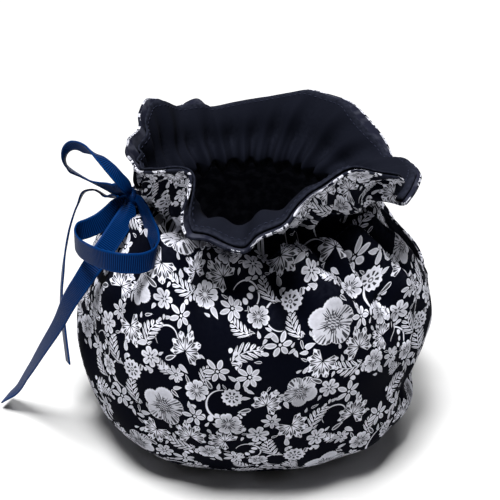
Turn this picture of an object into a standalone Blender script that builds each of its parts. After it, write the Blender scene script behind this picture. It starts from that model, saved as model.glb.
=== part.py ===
"""Drawstring tea cosy: a round-bellied printed cotton cover with a lined, ruffled collar.

Two body panels meet in side seams that open into an eye for the handle and one for the spout. A turned
hem lies flat under the belly, a ribbon tied in a bow on the handle side draws the neck in, and above the
neck the cloth stands up in a ruffle faced with plain cotton. +X is the spout side, -Y the front, +Z up,
and the origin is at the middle of the base. All sizes are in metres; the tables are in millimetres.
"""

import math

import bpy
import numpy as np

for leftover in list(bpy.data.objects):
    bpy.data.objects.remove(leftover, do_unlink=True)

MM = 0.001

# Cloth
CLOTH = 1.5 * MM  # padded printed cotton
HEM_THICK = 2.4 * MM  # the hem is the same cloth turned double
LINING = 1.1 * MM
AIR = 0.8 * MM  # between two pieces that are sewn or laid together
RIBBON_WIDE = 9.5 * MM
RIBBON_THICK = 1.0 * MM
PINCH = 0.5  # how far the knot crushes the ribbon's width
PINCH_REACH = 6.0  # and how far along the ribbon that lasts

# The side seams, as azimuths seen from above, counter-clockwise from +X
SPOUT_SEAM = 8.0
HANDLE_SEAM = 188.0
SEAM_GAP = 0.4 * MM

# The drawn neck
NECK_RADIUS = 54.0
NECK_HEIGHT = 134.0
NECK_FALL = 3.0  # the neck sits this much higher at the front than in the middle, and lower at the back
GATHERS = 15  # large pleats round the neck
GATHER_DEPTH = 1.7
GATHER_REACH = 15.0  # how far down the shoulder a pleat fades, as an e-folding length
CENTRE_X = 1.5  # the middle of the cover's width, which lies over the origin
CENTRE_Y = 0.0

# How many facets
COLUMNS = 38  # across one panel
RUFFLE_ROWS = 5
LINING_DROP = 2  # the facing ends this many body rows below the neck

# The belly's section: height, and its reach at every eighth of a turn from the spout side round by the back.
# The first row is the inner edge of the turned hem, and the last is the neck.
BELLY_COLUMNS = (
    "height", "spout", "back_spout", "back", "back_handle", "handle", "front_handle", "front", "front_spout"
)
BELLY = (
    (0.0, 51.0, 51.0, 51.0, 51.0, 51.0, 51.0, 51.0, 51.0),
    (0.0, 62.0, 62.0, 61.0, 62.0, 62.0, 63.0, 58.0, 62.5),
    (3.5, 69.0, 67.0, 66.5, 67.0, 67.5, 69.5, 64.0, 69.5),
    (11.0, 81.0, 75.0, 74.0, 76.0, 76.5, 78.5, 71.0, 80.0),
    (23.0, 89.5, 83.0, 82.0, 84.0, 85.5, 87.0, 80.5, 91.0),
    (39.0, 93.0, 89.0, 88.0, 90.0, 92.0, 91.0, 88.0, 93.0),
    (56.0, 95.0, 93.0, 91.5, 93.0, 94.5, 92.5, 91.5, 93.0),
    (73.0, 97.5, 94.5, 92.0, 93.0, 92.5, 92.0, 92.0, 95.0),
    (89.0, 95.0, 93.5, 91.0, 91.0, 89.0, 90.0, 91.0, 92.5),
    (103.0, 86.5, 88.0, 87.0, 86.0, 83.0, 85.0, 87.0, 88.5),
    (115.0, 75.5, 78.0, 78.5, 77.0, 75.0, 77.0, 78.5, 79.0),
    (124.5, 67.5, 68.5, 68.5, 67.5, 66.0, 67.0, 68.5, 68.5),
    (130.5, 59.0, 59.5, 59.5, 59.0, 58.5, 59.0, 59.5, 59.5),
    (134.0, 54.0, 54.0, 54.0, 54.0, 54.0, 54.0, 54.0, 54.0),
)

# Half the width of each eye in the side seams, by height up the belly.
EYE_COLUMNS = ("height", "spout_half", "handle_half")
EYES = (
    (73.0, 0.0, 0.0),
    (89.0, 13.0, 8.0),
    (103.0, 17.0, 10.0),
    (115.0, 14.0, 9.0),
    (124.5, 6.0, 4.5),
    (130.5, 0.0, 0.0),
)

# The ruffle, a row for each fold: where it leaves the neck, where its rim is, how far it first climbs
# before it rolls over, and how far the lining stops short of the rim.
RUFFLE_COLUMNS = ("neck_azimuth", "rim_x", "rim_y", "rim_z", "lift", "bare")
RUFFLE = (
    (4, 86, -12, 152, 12, 1.5),
    (11, 84, -1, 151, 12, 1.5),
    (18, 79, 8, 148, 10, 1.5),
    (24, 75, 14, 147, 10, 1.5),
    (29, 73, 20, 150, 11, 2.0),
    (36, 70, 27, 154, 13, 3.5),
    (44, 62, 39, 160, 16, 4.0),
    (53, 54, 50, 163, 19, 2.0),
    (63, 42, 59, 164, 20, 1.5),
    (74, 30, 65, 163, 20, 1.5),
    (86, 13, 67, 159, 18, 1.5),
    (99, -9, 67, 155, 16, 1.5),
    (108, -23, 63, 154, 15, 2.0),
    (116, -29, 63, 159, 17, 4.5),
    (126, -39, 58, 157, 16, 2.0),
    (137, -47, 50, 163, 18, 1.5),
    (148, -55, 39, 170, 22, 3.0),
    (158, -58, 25, 168, 22, 5.0),
    (167, -59, 12, 165, 20, 7.0),
    (177, -63, 1, 164, 20, 12.0),
    (187, -62, -12, 163, 20, 11.0),
    (196, -57, -27, 163, 20, 4.0),
    (206, -51, -41, 168, 22, 1.5),
    (217, -42, -50, 173, 24, 1.5),
    (229, -29, -57, 176, 26, 1.5),
    (236, -29, -65, 172, 28, 3.0),
    (243, -33, -73, 163, 25, 4.0),
    (250, -30, -79, 155, 22, 3.0),
    (259, -20, -82, 154, 22, 2.0),
    (269, -3, -86, 150, 22, 1.5),
    (278, 6, -85, 156, 26, 1.5),
    (286, 16, -81, 161, 29, 1.5),
    (294, 23, -75, 167, 32, 1.5),
    (303, 32, -68, 171, 32, 1.5),
    (313, 46, -58, 175, 30, 1.5),
    (323, 60, -49, 172, 26, 1.5),
    (332, 74, -42, 163, 24, 1.5),
    (338, 70, -40, 153, 18, 1.5),
    (344, 76, -38, 149, 10, 1.5),
    (350, 81, -31, 150, 9, 1.5),
    (357, 85, -21, 153, 10, 1.5),
)

# Soft troughs in the belly, a row for each: where each end is, as azimuth and height, how wide and how deep.
TROUGH_COLUMNS = ("azimuth_a", "height_a", "azimuth_b", "height_b", "half_width", "depth")
TROUGHS = (
    (312, 112, 321, 76, 7.0, 2.2),
    (321, 76, 325, 58, 6.0, 1.6),
    (340, 92, 333, 60, 8.0, 3.0),
    (333, 60, 322, 14, 7.0, 1.8),
    (331, 41, 353, 34, 7.5, 6.0),
    (286, 116, 291, 98, 9.0, 2.2),
    (245, 112, 239, 92, 8.0, 1.8),
    (206, 84, 214, 34, 8.0, 1.6),
    (262, 40, 258, 10, 9.0, 1.2),
    (300, 44, 306, 8, 9.0, 1.3),
    (60, 112, 66, 60, 9.0, 2.0),
    (118, 110, 112, 50, 10.0, 2.2),
    (150, 104, 146, 40, 9.0, 1.8),
    (32, 100, 30, 30, 9.0, 2.2),
)

# The ribbon's runs, a row for each bend: its middle line and the way that its width points.
RUN_COLUMNS = ("x", "y", "z", "across_x", "across_y", "across_z")
UPPER_LOOP = (
    (-61.2, -13.2, 144.6, -0.3, -0.9, 0.2),
    (-65.0, -17.0, 152.0, -0.3, -0.9, 0.1),
    (-70.0, -17.0, 158.5, -0.3, -0.9, 0.1),
    (-75.5, -14.0, 163.0, -0.2, -0.9, 0.3),
    (-81.5, -10.0, 165.5, 0.0, -0.7, 0.7),
    (-87.5, -5.0, 164.5, 0.0, -0.6, 0.8),
    (-93.0, 1.0, 158.5, 0.1, -0.8, 0.5),
    (-95.5, 6.0, 151.0, 0.2, -0.9, 0.2),
    (-94.0, 9.0, 144.5, 0.2, -0.9, 0.2),
    (-89.0, 9.5, 140.5, 0.1, -0.9, 0.4),
    (-82.5, 7.0, 138.0, 0.0, -0.8, 0.5),
    (-75.0, 3.0, 137.0, 0.2, -0.7, 0.6),
    (-69.5, -2.0, 137.5, 0.3, -0.6, 0.6),
    (-65.0, -7.0, 140.3, 0.3, -0.5, 0.7),
)
LOWER_LOOP = (
    (-57.2, -14.6, 138.2, 0.1, 0.1, 1.0),
    (-56.0, -17.5, 138.0, 0.1, 0.1, 1.0),
    (-53.0, -25.0, 137.0, 0.2, 0.1, 1.0),
    (-50.0, -35.0, 135.5, 0.3, 0.1, 0.9),
    (-47.0, -45.0, 134.0, 0.3, 0.2, 0.9),
    (-46.0, -53.0, 132.0, 0.2, 0.2, 0.9),
    (-47.5, -59.0, 131.0, 0.1, 0.2, 1.0),
    (-51.5, -63.0, 131.0, 0.0, 0.2, 1.0),
    (-57.0, -65.5, 132.0, 0.0, 0.2, 1.0),
    (-62.0, -66.0, 132.5, 0.0, 0.2, 1.0),
    (-68.0, -64.0, 132.5, 0.0, 0.2, 1.0),
    (-74.0, -59.0, 131.5, 0.0, 0.1, 1.0),
    (-80.0, -51.0, 129.5, 0.0, 0.1, 1.0),
    (-85.5, -41.0, 127.5, 0.0, 0.1, 1.0),
    (-88.0, -31.0, 126.5, 0.0, 0.1, 1.0),
    (-87.0, -24.0, 126.0, 0.0, 0.2, 1.0),
    (-82.0, -20.0, 126.0, 0.0, 0.3, 1.0),
    (-76.5, -17.0, 127.5, 0.0, 0.3, 1.0),
    (-71.0, -14.5, 131.0, 0.0, 0.3, 1.0),
    (-67.5, -12.5, 134.5, 0.0, 0.2, 1.0),
    (-64.8, -12.0, 136.6, 0.0, 0.2, 1.0),
)
LONG_TAIL = (
    (-61.2, -15.6, 136.4, 0.8, -0.1, -0.5),
    (-62.5, -19.5, 133.5, 0.8, -0.1, -0.5),
    (-66.0, -27.5, 130.5, 0.8, -0.1, -0.5),
    (-70.0, -35.0, 127.0, 0.8, -0.1, -0.5),
    (-74.5, -41.0, 122.5, 0.8, -0.1, -0.5),
    (-79.5, -44.0, 116.5, 0.7, -0.4, -0.4),
    (-85.0, -45.0, 108.0, 0.7, -0.6, -0.3),
    (-91.0, -42.0, 97.0, 0.6, -0.7, -0.2),
    (-100.0, -34.0, 76.0, 0.4, -0.8, 0.0),
    (-110.5, -24.0, 54.0, 0.3, -0.9, 0.1),
    (-121.0, -13.0, 31.5, 0.2, -0.9, 0.2),
    (-130.0, -5.0, 14.0, 0.2, -0.9, 0.3),
    (-137.0, 0.0, 5.0, 0.1, -0.9, 0.4),
)
SHORT_TAIL = (
    (-64.9, -8.6, 134.8, -0.2, -0.2, 0.9),
    (-66.6, -3.6, 131.6, -0.1, -0.5, 0.8),
    (-70.0, 2.5, 131.0, 0.0, -0.9, 0.5),
    (-76.0, 8.0, 129.5, 0.0, -0.9, 0.5),
    (-82.0, 10.5, 131.5, 0.0, -0.9, 0.5),
    (-86.5, 11.0, 130.5, 0.0, -0.9, 0.5),
    (-91.0, 10.0, 123.0, 0.1, -0.9, 0.5),
    (-95.5, 8.5, 111.0, 0.1, -0.9, 0.5),
    (-98.5, 7.0, 98.0, 0.1, -0.9, 0.5),
    (-100.5, 5.0, 85.5, 0.2, -0.9, 0.5),
    (-102.0, 3.0, 73.0, 0.2, -0.9, 0.5),
    (-102.0, 0.0, 62.0, 0.3, -0.9, 0.5),
    (-101.0, -4.0, 49.5, 0.3, -0.9, 0.4),
    (-99.5, -9.0, 35.0, 0.3, -0.9, 0.4),
)
KNOT_AT = (-60.8, -10.5, 138.5)
KNOT_SIZE = (5.4, 8.6, 8.2)


def column(table, names, name):
    """One named column of a table, as an array."""
    return np.array([row[names.index(name)] for row in table], float)


def through(keys, values, at, period=None):
    """A smooth curve through (keys, values), read at the places given; it closes on itself after a period."""
    keys, values, at = (np.asarray(a, float) for a in (keys, values, at))
    if period:
        at = (at - keys[0]) % period + keys[0]
        keys = np.concatenate([[keys[-1] - period], keys, keys[:2] + period])
        values = np.concatenate([values[-1:], values, values[:2]])
    slopes = np.gradient(values, keys)
    i = np.clip(np.searchsorted(keys, at, side="right") - 1, 0, len(keys) - 2)
    span = keys[i + 1] - keys[i]
    t = (at - keys[i]) / span
    return (
        values[i] * (1 + 2 * t) * (1 - t) ** 2
        + values[i + 1] * t * t * (3 - 2 * t)
        + span * (slopes[i] * t * (1 - t) ** 2 - slopes[i + 1] * t * t * (1 - t))
    )


def gather(azimuth):
    """Uneven pleats round the neck, from -1 in a trough to 1 on a crest."""
    a = np.radians(azimuth)
    return np.cos(GATHERS * a + 1.1 * np.sin(3 * a) + 0.7 * np.sin(5 * a + 1.0))


def trough_depth(azimuth, height):
    """How far the creases pull the belly in at a place, in millimetres."""
    depth = np.zeros(np.broadcast(azimuth, height).shape)
    arc = math.radians(90.0)
    for az_a, z_a, az_b, z_b, half, deep in TROUGHS:
        u = ((azimuth - az_a + 180) % 360 - 180) * arc
        du, dz = (az_b - az_a) * arc, z_b - z_a
        along = np.clip((u * du + (height - z_a) * dz) / (du * du + dz * dz), 0, 1)
        away = np.hypot(u - along * du, height - z_a - along * dz)
        fade = 0.35 + 0.65 * np.sin(np.pi * np.clip(along, 0.12, 0.88))
        depth = np.maximum(depth, deep * fade * np.exp(-((away / half) ** 2)))
    return depth


def belly(azimuth, row):
    """The printed face below the neck. row counts down the belly's table, and may fall between two rows."""
    rows = np.arange(len(BELLY), dtype=float)
    height = np.maximum(through(rows, column(BELLY, BELLY_COLUMNS, "height"), row), 0.0)
    eighth = azimuth % 360 / 45
    first = np.floor(eighth).astype(int)
    t = eighth - first
    # Four neighbouring eighths share each place, by the Catmull-Rom weights.
    shares = (
        (2 * t**2 - t**3 - t) / 2,
        (3 * t**3 - 5 * t**2 + 2) / 2,
        (4 * t**2 - 3 * t**3 + t) / 2,
        (t**3 - t**2) / 2,
    )
    sides = [through(rows, column(BELLY, BELLY_COLUMNS, n), row) for n in BELLY_COLUMNS[1:]]
    sides = np.stack([np.broadcast_to(s, t.shape) for s in sides])
    reach = 0.0
    for step, share in enumerate(shares):
        reach = reach + share * np.take_along_axis(sides, ((first + step - 1) % 8)[None], 0)[0]
    near_neck = np.exp(-(NECK_HEIGHT - height) / GATHER_REACH)
    reach = reach + GATHER_DEPTH * near_neck * gather(azimuth)
    reach = reach - trough_depth(azimuth, height) * np.clip(row - 1.5, 0, 1)
    height = height - NECK_FALL * np.sin(np.radians(azimuth)) * (height / NECK_HEIGHT) ** 3
    a = np.radians(azimuth)
    return np.stack([reach * np.cos(a), reach * np.sin(a), height], -1)


def ruffle(azimuth, climb):
    """The printed face above the neck: climb runs from 0 at the neck to 1 at the rim."""
    neck = belly(azimuth, np.full(np.shape(azimuth), len(BELLY) - 1.0))
    keys = column(RUFFLE, RUFFLE_COLUMNS, "neck_azimuth")

    def read(name):
        return through(keys, column(RUFFLE, RUFFLE_COLUMNS, name), azimuth, period=360.0)

    rim = np.stack([read("rim_x"), read("rim_y"), read("rim_z")], -1)
    outward = (rim - neck) * [1, 1, 0]
    knee = neck + 0.12 * outward
    knee[..., 2] += read("lift")
    t = np.asarray(climb)[..., None]
    return neck * (1 - t) ** 2 + 2 * knee * t * (1 - t) + rim * t * t


def cloth(azimuth, row):
    """The whole printed face: belly rows up to the neck, then the ruffle's climb in the next unit."""
    last = len(BELLY) - 1.0
    low = belly(azimuth, np.minimum(row, last))
    high = ruffle(azimuth, np.clip(row - last, 0, 1))
    return np.where((row > last)[..., None], high, low)


def outward_normals(azimuth, row):
    """Unit normals of the printed face, from small steps round and up it."""
    step_round, step_up = 1.0, 0.12
    top = len(BELLY) * 1.0
    up, down = np.minimum(row + step_up, top), np.maximum(row - step_up, 0.0)
    # A step that would leave the ruffle's first bend is taken on both sides of it.
    across = cloth(azimuth + step_round, row) - cloth(azimuth - step_round, row)
    along = cloth(azimuth, up) - cloth(azimuth, down)
    normal = np.cross(across, along)
    return normal / np.linalg.norm(normal, axis=-1, keepdims=True)


def bare_share(azimuth):
    """The part of the ruffle's climb that the lining covers at each azimuth."""
    keys = column(RUFFLE, RUFFLE_COLUMNS, "neck_azimuth")
    bare = through(keys, column(RUFFLE, RUFFLE_COLUMNS, "bare"), azimuth, period=360.0)
    return 1.0 - np.maximum(bare, 1.2) / 42.0


def panel_grid(first_seam, second_seam, lining):
    """Azimuths and rows of one panel's grid, which runs from one side seam to the other."""
    last = len(BELLY) - 1
    body_rows = np.arange(last - LINING_DROP if lining else 0, last + 1, dtype=float)
    climbs = np.arange(1, RUFFLE_ROWS + 1) / RUFFLE_ROWS
    share = np.linspace(0.0, 1.0, COLUMNS + 1)
    azimuths, rows = [], []
    for row in body_rows:
        point = belly(np.array([first_seam]), np.array([row]))[0]
        radius = math.hypot(point[0], point[1])
        height = float(np.interp(row, range(last + 1), column(BELLY, BELLY_COLUMNS, "height")))
        heights = column(EYES, EYE_COLUMNS, "height")
        in_seam = {}
        for seam, name in ((SPOUT_SEAM, "spout_half"), (HANDLE_SEAM, "handle_half")):
            half = float(np.interp(height, heights, column(EYES, EYE_COLUMNS, name)))
            in_seam[seam] = math.degrees((half + SEAM_GAP / MM / 2) / radius)
        low = first_seam + in_seam[first_seam % 360]
        high = second_seam - in_seam[second_seam % 360]
        azimuths.append(low + (high - low) * share)
        rows.append(np.full(COLUMNS + 1, row))
    edge = math.degrees(SEAM_GAP / MM / 2 / NECK_RADIUS)
    round_rim = np.linspace(first_seam + edge, second_seam - edge, COLUMNS + 1)
    covered = bare_share(round_rim)
    for climb in climbs:
        azimuths.append(round_rim)
        rows.append(last + climb * covered)
    if not lining:
        azimuths.append(round_rim)
        rows.append(np.full(COLUMNS + 1, last + 1.0))
    return np.array(azimuths), np.array(rows)


def closed_sheet(outer, inner):
    """Vertices and triangles of a closed sheet between two grids of points, the outer one facing out."""
    count_up, count_round = outer.shape[:2]
    size = count_up * count_round
    where = np.arange(size).reshape(count_up, count_round)

    def skin(grid):
        a, b = grid[:-1, :-1], grid[:-1, 1:]
        c, d = grid[1:, 1:], grid[1:, :-1]
        return np.concatenate([np.stack([a, b, c], -1), np.stack([a, c, d], -1)]).reshape(-1, 3)

    border = np.concatenate([where[0, :-1], where[:-1, -1], where[-1, :0:-1], where[:0:-1, 0]])
    after = np.roll(border, -1)
    walls = np.concatenate(
        [np.stack([after, border, border + size], -1), np.stack([after, border + size, after + size], -1)]
    )
    faces = np.concatenate([skin(where), skin(where)[:, ::-1] + size, walls])
    return np.concatenate([outer.reshape(-1, 3), inner.reshape(-1, 3)]), faces


def material(name, colour, roughness):
    """A plain cloth material."""
    made = bpy.data.materials.new(name)
    made.use_nodes = True
    surface = made.node_tree.nodes["Principled BSDF"]
    surface.inputs["Base Color"].default_value = (*colour, 1.0)
    surface.inputs["Roughness"].default_value = roughness
    surface.inputs["Metallic"].default_value = 0.0
    return made


def add(name, points, faces, finish, smooth=True):
    """A mesh object from points in millimetres."""
    centred = (np.asarray(points) - [CENTRE_X, CENTRE_Y, 0.0]) * MM
    mesh = bpy.data.meshes.new(name)
    mesh.from_pydata(centred.tolist(), [], np.asarray(faces).tolist())
    mesh.materials.append(finish)
    made = bpy.data.objects.new(name, mesh)
    bpy.context.scene.collection.objects.link(made)
    if smooth:
        mesh.shade_smooth()
        mesh.set_sharp_from_angle(angle=math.radians(50))
    return made


PRINT = material("print_cotton", (0.10, 0.105, 0.14), 0.85)
PLAIN = material("lining_cotton", (0.012, 0.014, 0.030), 0.85)
SATIN = material("ribbon", (0.012, 0.060, 0.20), 0.5)

for half, seams in (("front", (HANDLE_SEAM, SPOUT_SEAM + 360)), ("back", (SPOUT_SEAM, HANDLE_SEAM))):
    azimuth, row = panel_grid(*seams, lining=False)
    face, normal = cloth(azimuth, row), outward_normals(azimuth, row)
    flat = row <= 1.0
    face[..., 2] = np.where(flat, 0.0, face[..., 2])
    thick = np.where(flat, HEM_THICK, CLOTH)[..., None] / MM
    add(f"panel_{half}", *closed_sheet(face, face - normal * thick), PRINT)

    azimuth, row = panel_grid(*seams, lining=True)
    face, normal = cloth(azimuth, row), outward_normals(azimuth, row)
    near, far = (CLOTH + AIR) / MM, (CLOTH + AIR + LINING) / MM
    add(f"lining_{half}", *closed_sheet(face - normal * near, face - normal * far), PLAIN)


def ribbon(name, stations, knotted_ends=(True, False), spacing=4.5):
    """A flat strip along a smooth line through its stations, its width turning as they say."""
    table = np.array(stations, float)
    reach = np.concatenate([[0.0], np.cumsum(np.linalg.norm(np.diff(table[:, :3], axis=0), axis=1))])
    count = int(round(reach[-1] / spacing)) + 1
    at = np.linspace(0.0, reach[-1], count)
    line = np.stack([through(reach, table[:, i], at) for i in range(3)], -1)
    across = np.stack([through(reach, table[:, i], at) for i in range(3, 6)], -1)
    way = np.gradient(line, axis=0)
    way /= np.linalg.norm(way, axis=1, keepdims=True)
    across -= way * (across * way).sum(1, keepdims=True)
    across /= np.linalg.norm(across, axis=1, keepdims=True)
    normal = np.cross(way, across)
    half_t = RIBBON_THICK / MM / 2
    half_w = np.full(count, RIBBON_WIDE / MM / 2)
    for knotted, to_end in zip(knotted_ends, (at, reach[-1] - at)):
        if knotted:
            half_w *= 1.0 - PINCH * np.exp(-((to_end / PINCH_REACH) ** 2))
    half_w = half_w[:, None]
    grids = []
    for side in (1, -1):
        rows = [line + across * half_w * k + normal * half_t * side for k in (-1, 0, 1)]
        grids.append(np.array(rows))
    points, faces = closed_sheet(*grids)
    made = add(name, points, faces, SATIN)
    length = np.linalg.norm(np.diff(line, axis=0), axis=1).sum()
    print(f"{name}: {length:.0f} mm long, {len(faces)} triangles")
    return made


ribbon("ribbon_loop_upper", UPPER_LOOP, (True, True))
ribbon("ribbon_loop_lower", LOWER_LOOP, (True, True))
ribbon("ribbon_tail_long", LONG_TAIL)
ribbon("ribbon_tail_short", SHORT_TAIL)

# The knot: a soft squarish lump of the ribbon wrapped round itself.
bpy.ops.mesh.primitive_cube_add(size=2)
knot = bpy.context.object
knot.name = knot.data.name = "ribbon_knot"
bpy.context.view_layer.update()
for corner in knot.data.vertices:
    corner.co = [corner.co[i] * KNOT_SIZE[i] / 2 * MM for i in range(3)]
knot.location = [(KNOT_AT[i] - (CENTRE_X, CENTRE_Y, 0.0)[i]) * MM for i in range(3)]
knot.rotation_euler.z = math.radians(HANDLE_SEAM - 180)
knot.data.materials.append(SATIN)
rounding = knot.modifiers.new("rounding", "BEVEL")
rounding.width = 2.2 * MM
rounding.segments = 3
knot.data.shade_smooth()
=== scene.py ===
# %% [markdown]
# # A ruffled tea cosy in printed cotton
#
# A tea cosy is a padded cotton cover that keeps a teapot warm. This one has a round belly, two side seams
# that open into an eye for the handle and one for the spout, a neck drawn in by a ribbon, and above the
# neck a ruffle faced with plain cotton. The pot itself isn't here, so the cover stands on its hem alone.
#
# Cloth like this could be sculpted, simulated or worked out as a formula. Here every piece is a formula on
# a grid, because the folds then stay where the maker put them and each piece comes out closed and even.

import math

import bpy
import numpy as np
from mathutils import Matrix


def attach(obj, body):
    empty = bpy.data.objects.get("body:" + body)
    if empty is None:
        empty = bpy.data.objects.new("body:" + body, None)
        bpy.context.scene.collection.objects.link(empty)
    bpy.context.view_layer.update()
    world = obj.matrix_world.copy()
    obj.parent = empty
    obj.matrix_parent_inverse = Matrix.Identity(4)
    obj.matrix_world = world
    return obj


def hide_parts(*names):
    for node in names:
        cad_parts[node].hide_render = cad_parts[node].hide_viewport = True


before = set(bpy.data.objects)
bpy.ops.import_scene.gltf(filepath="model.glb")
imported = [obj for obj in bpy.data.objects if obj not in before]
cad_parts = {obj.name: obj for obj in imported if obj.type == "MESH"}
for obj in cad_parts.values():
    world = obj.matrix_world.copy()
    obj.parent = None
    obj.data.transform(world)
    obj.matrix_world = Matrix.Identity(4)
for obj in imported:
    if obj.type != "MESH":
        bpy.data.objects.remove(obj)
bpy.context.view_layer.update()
MM = 0.001
print("pieces in the frame:", ", ".join(sorted(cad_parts)))

# %% [markdown]
# ## Camera, floor and light
#
# The camera looks down at the front from about thirty degrees, with a long lens so that the belly stays
# round. The floor is one pale sheet. One soft lamp hangs high in front, a little to the left, so that it
# rakes over the folds of the ruffle and leaves their far sides dark. A weaker and larger one hangs high
# behind and lights the floor there, and a faint even sky keeps the darkest folds from going quite black.

# %% Camera
AIM = (-0.0015, 0.0, 0.101)
CAMERA_AT = (-0.0015, -0.6893, 0.5070)

lens = bpy.data.cameras.new("camera")
lens.lens = 108.65
lens.sensor_width = 36.0
camera = bpy.data.objects.new("camera", lens)
camera.location = CAMERA_AT
ahead = np.subtract(AIM, CAMERA_AT)
camera.rotation_euler = (math.atan2(math.hypot(ahead[0], ahead[1]), -ahead[2]), 0.0, 0.0)
bpy.context.scene.collection.objects.link(camera)
bpy.context.scene.camera = camera
print("camera", round(float(np.linalg.norm(ahead)), 3), "m from the cover")


# %% Floor
def plain_finish(name, colour, roughness):
    """A finish of one colour, for the floor."""
    made = bpy.data.materials.new(name)
    made.use_nodes = True
    surface = made.node_tree.nodes["Principled BSDF"]
    surface.inputs["Base Color"].default_value = (*colour, 1.0)
    surface.inputs["Roughness"].default_value = roughness
    return made


FLOOR_HALF = 6.0
FLOOR_GREY = (0.52, 0.52, 0.52)  # pale enough to look white under these lamps, and not to light the belly
floor_mesh = bpy.data.meshes.new("floor")
corners = [(-1, -1), (1, -1), (1, 1), (-1, 1)]
floor_mesh.from_pydata([(FLOOR_HALF * x, FLOOR_HALF * y, 0.0) for x, y in corners], [], [(0, 1, 2, 3)])
floor_mesh.materials.append(plain_finish("floor_paper", FLOOR_GREY, 0.9))
floor = bpy.data.objects.new("floor", floor_mesh)
bpy.context.scene.collection.objects.link(floor)
print("floor laid")

# %% Light
sky = bpy.data.worlds.new("sky")
sky.use_nodes = True
sky.node_tree.nodes["Background"].inputs["Color"].default_value = (1.0, 1.0, 1.0, 1.0)
sky.node_tree.nodes["Background"].inputs["Strength"].default_value = 0.06
bpy.context.scene.world = sky
bpy.context.scene.view_settings.view_transform = "Standard"


LAMPS_FACE = (0.0, 0.0, 0.1)


def lamp(name, at, size, power):
    """A square soft lamp that faces the cover: its side in metres and its power in watts."""
    data = bpy.data.lights.new(name, "AREA")
    data.size = size
    data.energy = power
    made = bpy.data.objects.new(name, data)
    made.location = at
    way = np.subtract(LAMPS_FACE, at)
    made.rotation_euler = (math.atan2(math.hypot(way[0], way[1]), -way[2]), 0.0, math.atan2(-way[0], way[1]))
    bpy.context.scene.collection.objects.link(made)


lamp("front_high", (-0.24, -0.48, 2.4), 0.75, 118.0)
lamp("back_high", (0.30, 1.30, 2.1), 1.2, 37.0)
print("two lamps and an even sky")

# %% [markdown]
# ## The cover's shape in tables
#
# The pattern cutter's measurements come first: how far the belly reaches at each height and direction, how
# wide the eyes in the side seams are, where each fold of the ruffle has its rim, and where the soft
# troughs lie. They are the same tables that the solid frame was made from, in millimetres, so the finer
# cloth lies exactly where the frame's cloth does.

# %% Measurements
CLOTH = 1.5
HEM_THICK = 2.4
LINING = 1.1
AIR = 0.8
SPOUT_SEAM = 8.0
HANDLE_SEAM = 188.0
SEAM_GAP = 0.4
NECK_HEIGHT = 134.0
NECK_REACH = 54.0
NECK_FALL = 3.0
RUFFLE_LONG = 42.0  # millimetres of cloth from the neck to the rim, about the same all round
LEAST_BARE = 1.2  # the lining stops at least this far short of the rim
BELLY_REACH = 93.0
CENTRE = np.array([1.5, 0.0, 0.0])

# Height, then reach to the spout side, back and spout, back, and so on round to the front and spout.
BELLY = np.array([
    (0.0, 51.0, 51.0, 51.0, 51.0, 51.0, 51.0, 51.0, 51.0),
    (0.0, 62.0, 62.0, 61.0, 62.0, 62.0, 63.0, 58.0, 62.5),
    (3.5, 69.0, 67.0, 66.5, 67.0, 67.5, 69.5, 64.0, 69.5),
    (11.0, 81.0, 75.0, 74.0, 76.0, 76.5, 78.5, 71.0, 80.0),
    (23.0, 89.5, 83.0, 82.0, 84.0, 85.5, 87.0, 80.5, 91.0),
    (39.0, 93.0, 89.0, 88.0, 90.0, 92.0, 91.0, 88.0, 93.0),
    (56.0, 95.0, 93.0, 91.5, 93.0, 94.5, 92.5, 91.5, 93.0),
    (73.0, 97.5, 94.5, 92.0, 93.0, 92.5, 92.0, 92.0, 95.0),
    (89.0, 95.0, 93.5, 91.0, 91.0, 89.0, 90.0, 91.0, 92.5),
    (103.0, 86.5, 88.0, 87.0, 86.0, 83.0, 85.0, 87.0, 88.5),
    (115.0, 75.5, 78.0, 78.5, 77.0, 75.0, 77.0, 78.5, 79.0),
    (124.5, 67.5, 68.5, 68.5, 67.5, 66.0, 67.0, 68.5, 68.5),
    (130.5, 59.0, 59.5, 59.5, 59.0, 58.5, 59.0, 59.5, 59.5),
    (134.0, 54.0, 54.0, 54.0, 54.0, 54.0, 54.0, 54.0, 54.0),
])
NECK_ROW = len(BELLY) - 1

# Height, then half the width of the spout's eye and of the handle's.
EYES = np.array([
    (73.0, 0.0, 0.0),
    (89.0, 13.0, 8.0),
    (103.0, 17.0, 10.0),
    (115.0, 14.0, 9.0),
    (124.5, 6.0, 4.5),
    (130.5, 0.0, 0.0),
])

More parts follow.
